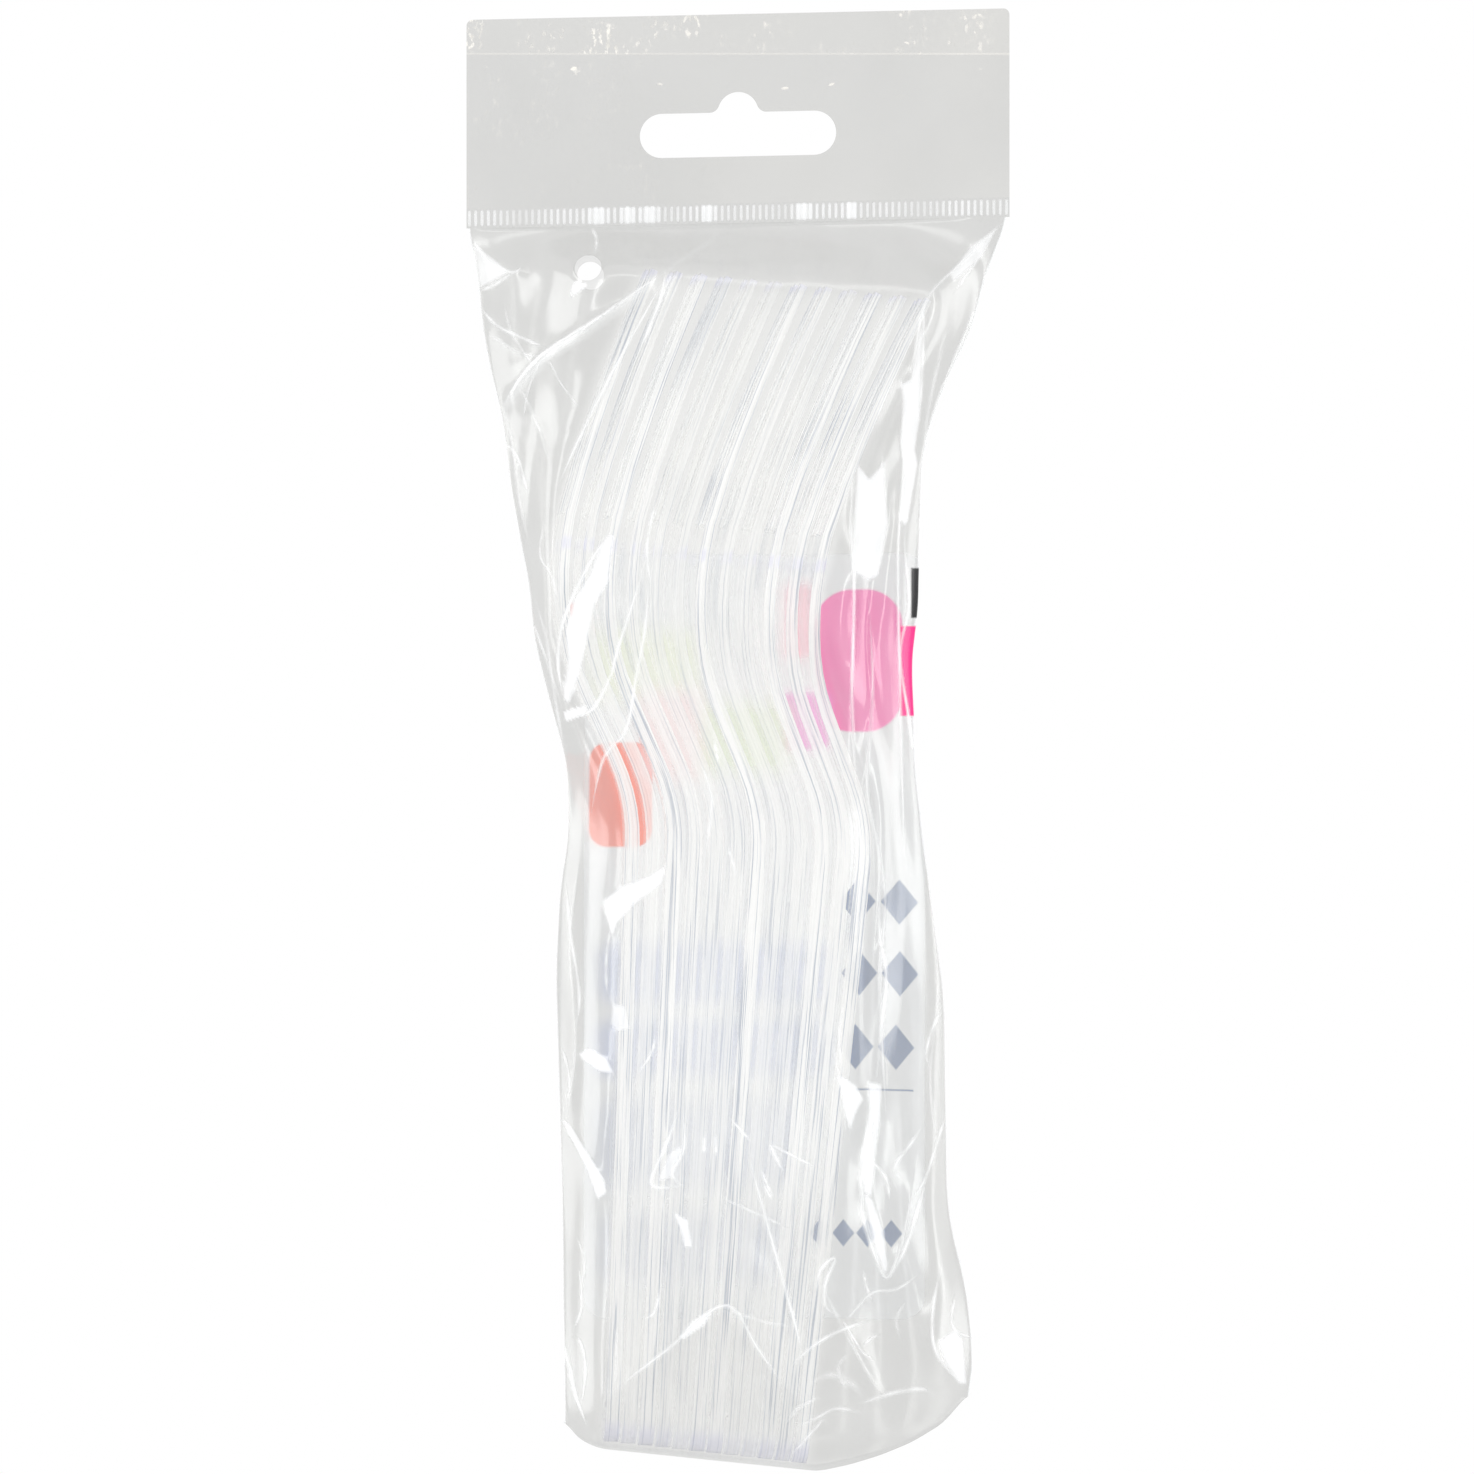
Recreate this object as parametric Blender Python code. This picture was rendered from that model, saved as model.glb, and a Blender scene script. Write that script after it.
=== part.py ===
# A dozen clear plastic forks, nested in a stack, in a clear film header bag.
# Metres, +Z up. The origin is the top of the hang slot, where a display hook bears.
# The header lies in the XZ plane. The forks stand on their butts, and are seen edge on along Y.
import math

import bmesh
import bpy
from mathutils import Matrix, Vector

# Fork side profile, from the butt to the tips: each run is straight or an arc
HANDLE_RUN = 0.0975
HANDLE_BEND_RADIUS = 0.031
NECK_SLOPE = math.radians(26.5)
NECK_RUN = 0.0120
BOWL_RADIUS = 0.043
ROOT_RADIUS = 0.056
ROOT_TURN = math.radians(14.5)
TINE_RADIUS = 0.300
TINE_RUN = 0.0370

# Fork plan
HANDLE_WIDTH = 0.0110
NECK_WIDTH = 0.0068
HEAD_WIDTH = 0.0244
TIPS_WIDTH = 0.0226
TINE_COUNT = 4
TINE_GAP = 0.0028
TINE_TIP_WIDTH = 0.0019
TINE_SPLIT = 0.0095  # from the end of the bowl to where the tines part
HEAD_DISH = 0.0008

# Fork thickness
HANDLE_THICKNESS = 0.00248
NECK_THICKNESS = 0.0022
HEAD_THICKNESS = 0.0018
TIP_THICKNESS = 0.0012
RAIL_WIDTH = 0.0015
RAIL_LEAD = 0.0004
RECESS_DEPTH = 0.0006
RECESS_END_MARGIN = 0.0055

# Stack
FORK_COUNT = 12
REST_GAP = 0.0003
FAN_ANGLE = math.radians(0.38)  # each fork leans this much more than its neighbour
FIRST_LEAN = math.radians(2.0)
STACK_TURN = math.radians(4.0)  # the loose stack lies turned in the bag
FORK_DROP = 0.00033  # each fork stands this much lower than its neighbour
STACK_OFFSET = -0.0208  # the first butt, sideways from the middle of the header

# Bag
HEADER_WIDTH = 0.0885
HEADER_ABOVE_SLOT = 0.0122
HEADER_CORNER_RADIUS = 0.0010
FILM = 0.00015
WELD_DROP = 0.0181  # from the top of the slot to the top of the weld band
WELD_HEIGHT = 0.0032
WELD_RAISE = 0.0001
WELD_LEAD = 0.0002
TIP_HEADROOM = 0.0084  # from the weld down to the first fork's tips
FILM_CLEARANCE = 0.0006  # between the forks' edges and the film beside them
SEAM_CLEARANCE = 0.0008
BUTT_CLEARANCE = 0.0010  # under the first butt, where the forks' round ends meet the turned film
RIGHT_CORNER_RISE = 0.0135
LEFT_CORNER_RISE = 0.0048
CORNER_REACH = 0.0450  # height over which the rows of film turn up towards the two lower corners
BOTTOM_CURVE = 0.0062  # height above the butts where the film starts to turn under them

# Hang slot and vent
SLOT_WIDTH = 0.0320
SLOT_HEIGHT = 0.0072
SLOT_BUMP_RADIUS = 0.0033
SLOT_FILLET_RADIUS = 0.0016
VENT_RADIUS = 0.0022
VENT_SIDE = -0.0242
VENT_DROP = 0.0294

# Loose film beside the stack, in shares of the header's width:
# (share of the fork's height, left margin, right margin)
FILM_MARGINS = (
    (1.00, 0.267, 0.083),
    (0.94, 0.201, 0.063),
    (0.87, 0.113, 0.079),
    (0.79, 0.049, 0.142),
    (0.73, 0.020, 0.172),
    (0.65, 0.018, 0.121),
    (0.59, 0.037, 0.079),
    (0.54, 0.077, 0.082),
    (0.48, 0.101, 0.104),
    (0.40, 0.104, 0.147),
    (0.22, 0.080, 0.195),
    (0.16, 0.074, 0.221),
    (0.10, 0.069, 0.256),
    (0.00, 0.057, 0.299),
)

# Upright pleats of the loose film, as the part of its depth that alternate columns are pulled in or
# out by: (share of the fork's height, left near, left far, right near, right far)
FILM_PLEATS = (
    (1.06, 0.10, 0.10, 0.10, 0.10),
    (0.97, 0.34, 0.24, 0.30, 0.30),
    (0.90, 0.10, 0.30, 0.10, 0.36),
    (0.82, 0.34, 0.10, 0.34, 0.12),
    (0.72, 0.14, 0.22, 0.40, 0.10),
    (0.62, 0.10, 0.10, 0.16, 0.30),
    (0.54, 0.26, 0.10, 0.34, 0.34),
    (0.42, 0.10, 0.26, 0.40, 0.16),
    (0.30, 0.30, 0.12, 0.16, 0.30),
    (0.18, 0.14, 0.26, 0.38, 0.34),
    (0.08, 0.20, 0.10, 0.14, 0.38),
    (0.00, 0.10, 0.10, 0.10, 0.10),
)

# Main folds of the film: (wall, from x, from z, to x, to z, height, reach), the wall being -1
# for the near one and 1 for the far one, the places in shares of the pouch's half width and
# height, and the height and reach in shares of the header's width
FILM_FOLDS = (
    (-1, -0.98, 0.02, -0.36, 0.015, 0.034, 0.068),
    (-1, -0.36, 0.015, -0.86, 0.13, 0.038, 0.068),
    (-1, -0.80, 0.34, -0.58, 0.20, 0.027, 0.057),
    (-1, 0.60, 0.12, 0.58, 0.42, 0.029, 0.062),
    (-1, 0.36, 0.30, 0.30, 0.44, 0.020, 0.062),
    (-1, 0.52, 0.44, 0.56, 0.84, 0.034, 0.068),
    (-1, 0.60, 0.86, 0.82, 0.98, 0.034, 0.068),
    (-1, -0.60, 0.47, -0.40, 0.44, 0.023, 0.062),
    (-1, -0.62, 0.80, -0.28, 0.67, 0.020, 0.068),
    (-1, -0.28, 0.90, 0.02, 0.86, 0.020, 0.062),
    (-1, 0.02, 0.86, 0.14, 0.93, 0.020, 0.062),
    (1, 0.95, 0.03, 0.55, 0.20, 0.032, 0.068),
    (1, 0.50, 0.50, 0.60, 0.90, 0.029, 0.068),
    (1, -0.70, 0.24, -0.50, 0.52, 0.023, 0.062),
    (1, -0.10, 0.10, 0.30, 0.22, 0.018, 0.068),
    (1, -0.30, 0.95, 0.10, 0.84, 0.018, 0.068),
)

# Fineness
BEND_STEPS = 5
BOWL_STEPS = 6
ROOT_STEPS = 2
TINE_STEPS = 5
BUTT_ANGLES = (20.0, 45.0, 70.0, 90.0)
ROW_STEP = 0.0045
LEFT_COLUMNS = 4
STACK_COLUMNS = 7
RIGHT_COLUMNS = 5
BOTTOM_ROWS = 6
ROUND_STEPS = 8
FILLET_STEPS = 3
CORNER_STEPS = 2

LOOKS = {
    "fork": ((0.93, 0.94, 0.97, 0.45), 0.08),
    "film": ((0.86, 0.87, 0.86, 0.30), 0.12),
}


def clear_scene():
    for obj in list(bpy.data.objects):
        bpy.data.objects.remove(obj, do_unlink=True)


def material(name):
    colour, roughness = LOOKS[name]
    made = bpy.data.materials.new(name)
    made.use_nodes = True
    shader = made.node_tree.nodes["Principled BSDF"]
    shader.inputs["Base Color"].default_value = colour
    shader.inputs["Roughness"].default_value = roughness
    shader.inputs["Metallic"].default_value = 0.0
    shader.inputs["Alpha"].default_value = colour[3]
    return made


def mix(a, b, share):
    return a + (b - a) * share


def ease(share):
    share = min(max(share, 0.0), 1.0)
    return share * share * (3.0 - 2.0 * share)


class Profile:
    """A fork's side profile. A place on it is its distance from the butt along the curve."""

    def __init__(self):
        handle_arc = HANDLE_BEND_RADIUS * NECK_SLOPE
        bowl_arc = BOWL_RADIUS * NECK_SLOPE
        root_arc = ROOT_RADIUS * ROOT_TURN
        self.runs = (
            (HANDLE_RUN, 0.0),
            (handle_arc, -1.0 / HANDLE_BEND_RADIUS),
            (NECK_RUN, 0.0),
            (bowl_arc, 1.0 / BOWL_RADIUS),
            (root_arc, 1.0 / ROOT_RADIUS),
            (TINE_RUN, 1.0 / TINE_RADIUS),
        )
        self.neck_start = HANDLE_RUN + handle_arc
        self.neck_end = self.neck_start + NECK_RUN
        self.bowl_end = self.neck_end + bowl_arc
        self.split = self.bowl_end + TINE_SPLIT
        self.root_end = self.bowl_end + root_arc
        self.length = self.root_end + TINE_RUN

    def at(self, place):
        """(sideways, up, lean) of the middle of the section: lean is the tangent's angle from upright."""
        side, up, lean = 0.0, 0.0, 0.0
        left = place
        for length, bend in self.runs:
            run = min(left, length)
            if bend == 0.0:
                side += run * math.sin(lean)
                up += run * math.cos(lean)
            else:
                turned = lean + run * bend
                side += (math.cos(lean) - math.cos(turned)) / bend
                up += (math.sin(turned) - math.sin(lean)) / bend
                lean = turned
            left -= run
            if left <= 0.0:
                break
        return side, up, lean

    def half_width(self, place):
        butt = HANDLE_WIDTH / 2
        if place < butt:
            return math.sqrt(max(butt**2 - (butt - place) ** 2, 0.0))
        if place < HANDLE_RUN:
            return mix(butt, NECK_WIDTH / 2, (place - butt) / (HANDLE_RUN - butt))
        if place < self.neck_end:
            return NECK_WIDTH / 2
        if place < self.bowl_end:
            share = (place - self.neck_end) / (self.bowl_end - self.neck_end)
            return mix(NECK_WIDTH, HEAD_WIDTH, ease(share)) / 2
        if place < self.split:
            return HEAD_WIDTH / 2
        return mix(HEAD_WIDTH, TIPS_WIDTH, (place - self.split) / (self.length - self.split)) / 2

    def thickness(self, place):
        if place < HANDLE_RUN:
            return HANDLE_THICKNESS
        if place < self.neck_start:
            share = (place - HANDLE_RUN) / (self.neck_start - HANDLE_RUN)
            return mix(HANDLE_THICKNESS, NECK_THICKNESS, share)
        if place < self.neck_end:
            return NECK_THICKNESS
        if place < self.bowl_end:
            share = (place - self.neck_end) / (self.bowl_end - self.neck_end)
            return mix(NECK_THICKNESS, HEAD_THICKNESS, share)
        return mix(HEAD_THICKNESS, TIP_THICKNESS, (place - self.bowl_end) / (self.length - self.bowl_end))

    def dish(self, place, across):
        """How far the middle of the head hangs back behind its two edges."""
        if place <= self.neck_end:
            return 0.0
        share = ease((place - self.neck_end) / (self.bowl_end - self.neck_end))
        edge = self.half_width(place)
        return HEAD_DISH * share * (1.0 - (across / edge) ** 2)

    def point(self, place, across, face):
        """A point on the front (1) or back (-1) face."""
        side, up, lean = self.at(place)
        out = face * self.thickness(place) / 2 - self.dish(place, across)
        return Vector((side + out * math.cos(lean), across, up - out * math.sin(lean)))


def steps(start, end, count):
    return [mix(start, end, k / count) for k in range(1, count + 1)]


def nesting_pitch(profile):
    """The spacing at the butts at which no two neighbours touch, anywhere along their height."""
    widest = 0.0
    for k in range(200):
        place = profile.length * k / 199
        side, up, lean = profile.at(place)
        needed = profile.thickness(place) / math.cos(lean) + FORK_DROP * math.tan(abs(lean))
        widest = max(widest, needed - FAN_ANGLE * up)
    return widest + REST_GAP


def tine_edges():
    """Across positions of both edges of each tine, where the tines part."""
    width = (HEAD_WIDTH - (TINE_COUNT - 1) * TINE_GAP) / TINE_COUNT
    edges = []
    for k in range(TINE_COUNT):
        left = -HEAD_WIDTH / 2 + k * (width + TINE_GAP)
        edges += [left, left + width]
    return edges


def fork_row(bm, profile, place, acrosses):
    return [
        (bm.verts.new(profile.point(place, a, 1)), bm.verts.new(profile.point(place, a, -1)))
        for a in acrosses
    ]


def join_rows(bm, low, high):
    """Front, back and side faces between two rows. Where the counts differ, the broad faces are single."""
    made = []
    if len(low) == len(high):
        for k in range(len(low) - 1):
            made.append(bm.faces.new((low[k][0], low[k + 1][0], high[k + 1][0], high[k][0])))
            bm.faces.new((low[k][1], high[k][1], high[k + 1][1], low[k + 1][1]))
    else:
        bm.faces.new([v[0] for v in low] + [v[0] for v in reversed(high)])
        bm.faces.new([v[1] for v in high] + [v[1] for v in reversed(low)])
    bm.faces.new((low[0][0], high[0][0], high[0][1], low[0][1]))
    bm.faces.new((low[-1][0], low[-1][1], high[-1][1], high[-1][0]))
    return made


def cap_row(bm, row, flip):
    corners = [row[0][0], row[0][1], row[-1][1], row[-1][0]]
    bm.faces.new(corners[::-1] if flip else corners)


def recess(bm, face):
    """A channel in a handle's broad face, between two rails."""
    bmesh.ops.inset_individual(bm, faces=[face], thickness=RAIL_WIDTH, depth=0.0)
    bmesh.ops.inset_individual(bm, faces=[face], thickness=RAIL_LEAD, depth=-RECESS_DEPTH)


def add_handle(bm, profile):
    """Rows from the butt to the end of the neck. Returns the last row."""
    butt = HANDLE_WIDTH / 2
    places = [butt * (1.0 - math.cos(math.radians(a))) for a in BUTT_ANGLES]
    places.append(HANDLE_RUN - RECESS_END_MARGIN)
    places.append(HANDLE_RUN)
    places += steps(HANDLE_RUN, profile.neck_start, BEND_STEPS)
    places.append(profile.neck_end)
    rows = []
    for place in places:
        half = profile.half_width(place)
        if place == places[0]:
            half = butt * math.sin(math.radians(BUTT_ANGLES[0]))
        rows.append(fork_row(bm, profile, place, (-half, half)))
    cap_row(bm, rows[0], flip=False)
    for low, high in zip(rows, rows[1:]):
        join_rows(bm, low, high)
    bm.faces.ensure_lookup_table()
    rail_rows = len(BUTT_ANGLES) - 1, len(BUTT_ANGLES)
    for side in (0, 1):
        ends = {v[side] for k in rail_rows for v in rows[k]}
        for face in list(bm.faces):
            if set(face.verts) == ends:
                bm.normal_update()
                recess(bm, face)
    return rows[-1]


def add_tine(bm, profile, root_pair, index, edges):
    """One tapering tine from its root to its blunt tip."""
    centre = (edges[2 * index] + edges[2 * index + 1]) / 2
    half = (edges[2 * index + 1] - edges[2 * index]) / 2
    last = root_pair
    for place in steps(profile.split, profile.length, TINE_STEPS):
        share = (place - profile.split) / (profile.length - profile.split)
        at = centre * mix(1.0, TIPS_WIDTH / HEAD_WIDTH, share)
        reach = mix(half, TINE_TIP_WIDTH / 2, share**1.5)
        row = fork_row(bm, profile, place, (at - reach, at + reach))
        join_rows(bm, last, row)
        last = row
    cap_row(bm, last, flip=True)


def add_head(bm, profile, neck_row):
    edges = tine_edges()
    places = steps(profile.neck_end, profile.bowl_end, BOWL_STEPS)
    places += steps(profile.bowl_end, profile.split, ROOT_STEPS)
    last = neck_row
    for place in places:
        scale = 2 * profile.half_width(place) / HEAD_WIDTH
        row = fork_row(bm, profile, place, [e * scale for e in edges])
        join_rows(bm, last, row)
        last = row
    for index in range(TINE_COUNT):
        add_tine(bm, profile, last[2 * index : 2 * index + 2], index, edges)
        if index < TINE_COUNT - 1:
            left, right = last[2 * index + 1], last[2 * index + 2]
            bm.faces.new((left[0], right[0], right[1], left[1]))


def fork_mesh(profile):
    bm = bmesh.new()
    neck_row = add_handle(bm, profile)
    add_head(bm, profile, neck_row)
    bmesh.ops.recalc_face_normals(bm, faces=bm.faces)
    mesh = bpy.data.meshes.new("fork")
    bm.to_mesh(mesh)
    bm.free()
    mesh.shade_smooth()
    mesh.set_sharp_from_angle(angle=math.radians(35))
    return mesh


class Stack:
    """Where each fork stands."""

    def __init__(self, profile):
        self.profile = profile
        self.pitch = nesting_pitch(profile)
        side, up, lean = profile.at(profile.length)
        tip_height = up * math.cos(FIRST_LEAN) - side * math.sin(FIRST_LEAN)
        self.top = -(WELD_DROP + WELD_HEIGHT + TIP_HEADROOM)
        self.butt = self.top - tip_height
        self.drop = FORK_DROP * (FORK_COUNT - 1)
        self.turn = Matrix.Rotation(STACK_TURN, 4, "Z")

    def lean(self, index):
        return FIRST_LEAN + index * FAN_ANGLE

    def butt_point(self, index):
        along = STACK_OFFSET / math.cos(STACK_TURN) + index * self.pitch
        return along, self.butt - index * FORK_DROP

    def matrix(self, index):
        along, height = self.butt_point(index)
        stand = Matrix.Translation((along, 0.0, height)) @ Matrix.Rotation(self.lean(index), 4, "Y")
        return Matrix.Translation((0.0, self.depth_shift(), 0.0)) @ self.turn @ stand

    def depth_shift(self):
        """Brings the middle of the turned stack back to the plane of the header."""
        middle = STACK_OFFSET / math.cos(STACK_TURN) + self.pitch * (FORK_COUNT - 1) / 2
        return -middle * math.sin(STACK_TURN)

    def along_at(self, index, height, face):
        """(along the stack, half width) of one face of a fork at a height, ends held beyond its ends."""
        samples = self.samples(index, face)
        if height >= samples[-1][1]:
            return samples[-1][0], samples[-1][2]
        for low, high in zip(samples, samples[1:]):
            if low[1] <= height <= high[1]:
                share = (height - low[1]) / max(high[1] - low[1], 1e-9)
                return mix(low[0], high[0], share), mix(low[2], high[2], share)
        return samples[0][0], samples[0][2]

    def samples(self, index, face):
        along, base = self.butt_point(index)
        lean = self.lean(index)
        found = []
        for k in range(121):
            place = self.profile.length * k / 120
            edge = self.profile.half_width(place)
            at = self.profile.point(place, 0.0 if face < 0 else edge, face)
            found.append(
                (
                    along + at.x * math.cos(lean) + at.z * math.sin(lean),
                    base - at.x * math.sin(lean) + at.z * math.cos(lean),
                    edge,
                )
            )
        return found


def widest_near(stack, height, reach):
    """The stack's left face, right face and half width over a band of heights, as a taut film meets them."""
    lefts, rights, halves = [], [], []
    for k in range(5):
        at = height + reach * (k / 2 - 1.0)
        left, half_left = stack.along_at(0, at, -1)
        right, half_right = stack.along_at(FORK_COUNT - 1, at - stack.drop, 1)
        lefts.append(left)
        rights.append(right)
        halves += [half_left, half_right]
    return min(lefts), max(rights), max(halves)


def table_at(table, share):
    """The values of a table's two rows around a share of the forks' height, mixed by where it lies."""
    if share >= table[0][0]:
        return table[0][1:]
    for high, low in zip(table, table[1:]):
        if low[0] <= share <= high[0]:
            part = (share - low[0]) / (high[0] - low[0])
            return tuple(mix(a, b, part) for a, b in zip(low[1:], high[1:]))
    return table[-1][1:]


def corner_rise(share, rise):
    """How far the film turns up, from the stack (0) to a lower corner (1), which is round."""
    if share <= 0.0:
        return 0.0
    return rise * (0.30 * share + 0.45 * share**2 + 0.25 * share**8)


class BagRow:
    """One level of the pouch: its seams, and the corners where the film turns over the stack."""

    def __init__(self, stack, height):
        left, right, half = widest_near(stack, height, ROW_STEP)
        half = max(half, self.draped_half(stack, height)) + FILM_CLEARANCE
        left -= FILM_CLEARANCE
        right += FILM_CLEARANCE
        self.near = [self.place(stack, left, -half), self.place(stack, right, -half)]
        self.far = [self.place(stack, left, half), self.place(stack, right, half)]
        share = (height - stack.butt) / (stack.top - stack.butt)
        loose_left, loose_right = (HEADER_WIDTH * m for m in table_at(FILM_MARGINS, share))
        self.left = min(self.near[0].x, self.far[0].x) - max(loose_left, SEAM_CLEARANCE)
        self.right = max(self.near[1].x, self.far[1].x) + max(loose_right, SEAM_CLEARANCE)
        self.height = height
        self.drop = stack.drop
        self.pleats = table_at(FILM_PLEATS, share)
        self.lowness = ease(1.0 - (height - stack.butt - BOTTOM_CURVE) / CORNER_REACH)

    def level_at(self, x):
        """The row follows the stack, whose right side stands lower, and turns up to the lower corners."""
        left, right = self.near[0].x, self.near[1].x
        share = min(max((x - left) / (right - left), 0.0), 1.0)
        rise = corner_rise((x - right) / (self.right - right), RIGHT_CORNER_RISE)
        rise += corner_rise((left - x) / (left - self.left), LEFT_CORNER_RISE)
        return self.height - self.drop * share + rise * self.lowness

    @staticmethod
    def draped_half(stack, height):
        """Film drawn straight from the heads down to the butts stands off the slim handles."""
        share = (height - stack.butt) / (stack.top - stack.butt)
        return mix(HANDLE_WIDTH, HEAD_WIDTH, ease(share) ** 1.2) / 2

    @staticmethod
    def place(stack, along, across):
        turned = stack.turn @ Vector((along, across, 0.0))
        return Vector((turned.x, turned.y + stack.depth_shift()))


def pleated(start, end, count, depth):
    """Points from a corner to a seam, alternately pulled out and in, without the seam's own."""
    points = []
    for k in range(count):
        point = start.lerp(end, k / count)
        if k:
            point.y *= 1.0 + depth * (1.0 if k % 2 else -0.6)
        points.append(point)
    return points


def row_points(row, wall):
    """(x, y) across one wall of the pouch, from the left seam to the right seam."""
    first, second = row.near if wall < 0 else row.far
    left_depth = row.pleats[0 if wall < 0 else 1]
    right_depth = row.pleats[2 if wall < 0 else 3]
    seam_left = Vector((row.left, 0.0))
    seam_right = Vector((row.right, 0.0))
    points = [seam_left]
    points += pleated(first, seam_left, LEFT_COLUMNS, left_depth)[:0:-1]
    points += [first.lerp(second, k / STACK_COLUMNS) for k in range(STACK_COLUMNS)]
    points += pleated(second, seam_right, RIGHT_COLUMNS, right_depth)
    points.append(seam_right)
    return points


def column_shares():
    """Where the same columns cross the flat header, as shares of its width."""
    row_count = LEFT_COLUMNS + STACK_COLUMNS + RIGHT_COLUMNS
    return [k / row_count for k in range(row_count + 1)]


def fold_height(wall, x, z, top, bottom):
    """How far the main folds lift the film off its taut shape."""
    total = 0.0
    for side, x0, z0, x1, z1, height, reach in FILM_FOLDS:
        if side != wall:
            continue
        start = Vector((x0 * HEADER_WIDTH / 2, mix(top, bottom, z0)))
        end = Vector((x1 * HEADER_WIDTH / 2, mix(top, bottom, z1)))
        along = end - start
        here = Vector((x, z)) - start
        share = here.dot(along) / along.length_squared
        off = (here - along * min(max(share, 0.0), 1.0)).length
        if off < reach * HEADER_WIDTH:
            total += height * (HEADER_WIDTH - off / reach)
    return total


def pouch_levels(stack):
    """Points of both walls, level by level from the weld to the bottom edge."""
    weld = -(WELD_DROP + WELD_HEIGHT)
    top_row = BagRow(stack, stack.top + FILM_CLEARANCE)
    lowest = stack.butt + BOTTOM_CURVE
    count = math.ceil((top_row.height - lowest) / ROW_STEP)
    rows = [BagRow(stack, mix(top_row.height, lowest, k / count)) for k in range(count + 1)]
    levels = []
    for share in (1 / 3, 2 / 3):
        level = {}
        for wall in (-1, 1):
            level[wall] = [
                Vector(
                    (
                        mix((c - 0.5) * HEADER_WIDTH, p.x, share),
                        p.y * share,
                        mix(weld, top_row.level_at(p.x), share),
                    )
                )
                for c, p in zip(column_shares(), row_points(top_row, wall))
            ]
        levels.append(level)
    for row in rows:
        levels.append(
            {w: [Vector((p.x, p.y, row.level_at(p.x))) for p in row_points(row, w)] for w in (-1, 1)}
        )
    under = BOTTOM_CURVE + BUTT_CLEARANCE + FILM
    for k in range(1, BOTTOM_ROWS + 1):
        angle = math.pi / 2 * k / BOTTOM_ROWS
        level = {}
        for wall in (-1, 1):
            level[wall] = [
                Vector(
                    (
                        p.x,
                        p.y * math.cos(angle),
                        rows[-1].level_at(p.x) - under * math.sin(angle),
                    )
                )
                for p in row_points(rows[-1], wall)
            ]
        if k == BOTTOM_ROWS:
            level[1] = level[-1] = [Vector((p.x, 0.0, p.z)) for p in level[-1]]
        levels.append(level)
    return levels


def lift_folds(levels):
    """Raises the folds away from the stack, and leaves the seams and the bottom edge where they are."""
    top = levels[0][-1][0].z
    bottom = levels[-1][-1][0].z
    last = len(levels) - 1
    for number, level in enumerate(levels[:-1]):
        fade = min(number / 2, (last - number) / 3, 1.0)
        for wall in (-1, 1):
            for k in range(1, len(level[wall]) - 1):
                p = level[wall][k]
                inner = min(k, len(level[wall]) - 1 - k) / 2
                p.y += wall * fade * min(inner, 1.0) * fold_height(wall, p.x, p.z, top, bottom)


def header_levels():
    """The flat header and the weld band, as both walls' points from the top edge down."""
    levels = []
    for k in range(CORNER_STEPS + 1):
        angle = math.pi / 2 * (1.0 - k / CORNER_STEPS)
        half = HEADER_WIDTH / 2 - HEADER_CORNER_RADIUS * (1.0 - math.cos(angle))
        height = HEADER_ABOVE_SLOT - HEADER_CORNER_RADIUS * (1.0 - math.sin(angle))
        levels.append({w: [Vector((x, w * FILM, height)) for x in (-half, half)] for w in (-1, 1)})
    xs = [(c - 0.5) * HEADER_WIDTH for c in column_shares()]
    for drop, half in (
        (0.0, FILM),
        (WELD_LEAD, FILM + WELD_RAISE),
        (WELD_HEIGHT - WELD_LEAD, FILM + WELD_RAISE),
        (WELD_HEIGHT, FILM),
    ):
        levels.append({w: [Vector((x, w * half, -WELD_DROP - drop)) for x in xs] for w in (-1, 1)})
    return levels


def level_vertices(bm, level, shared):
    """One vertex for each point, with both walls' seams and closed edges shared."""
    near = [bm.verts.new(p) for p in level[-1]]
    last = len(near) - 1
    far = []
    for k, p in enumerate(level[1]):
        meets = shared == "all" or (shared == "seams" and k in (0, last))
        far.append(near[k] if meets else bm.verts.new(p))
    return near, far


def face_of(bm, corners):
    """A face of the corners that differ, or none if they lie on one edge."""
    kept = []
    for v in corners:
        if v not in kept:
            kept.append(v)
    if len(kept) > 2:
        bm.faces.new(kept)


def skin(bm, loops):
    """Both walls and the seams between consecutive levels. The flat header is one face on each wall."""
    for (near, far), (near_low, far_low) in zip(loops, loops[1:]):
        flat = len(near) < len(near_low)
        if flat:
            bm.faces.new(near_low + near[::-1])
            bm.faces.new(far + far_low[::-1])
        for k in range(0 if flat else len(near) - 1):
            face_of(bm, (near[k], near_low[k], near_low[k + 1], near[k + 1]))
            face_of(bm, (far[k], far[k + 1], far_low[k + 1], far_low[k]))
        face_of(bm, (near[0], far[0], far_low[0], near_low[0]))
        face_of(bm, (near[-1], near_low[-1], far_low[-1], far[-1]))


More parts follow.
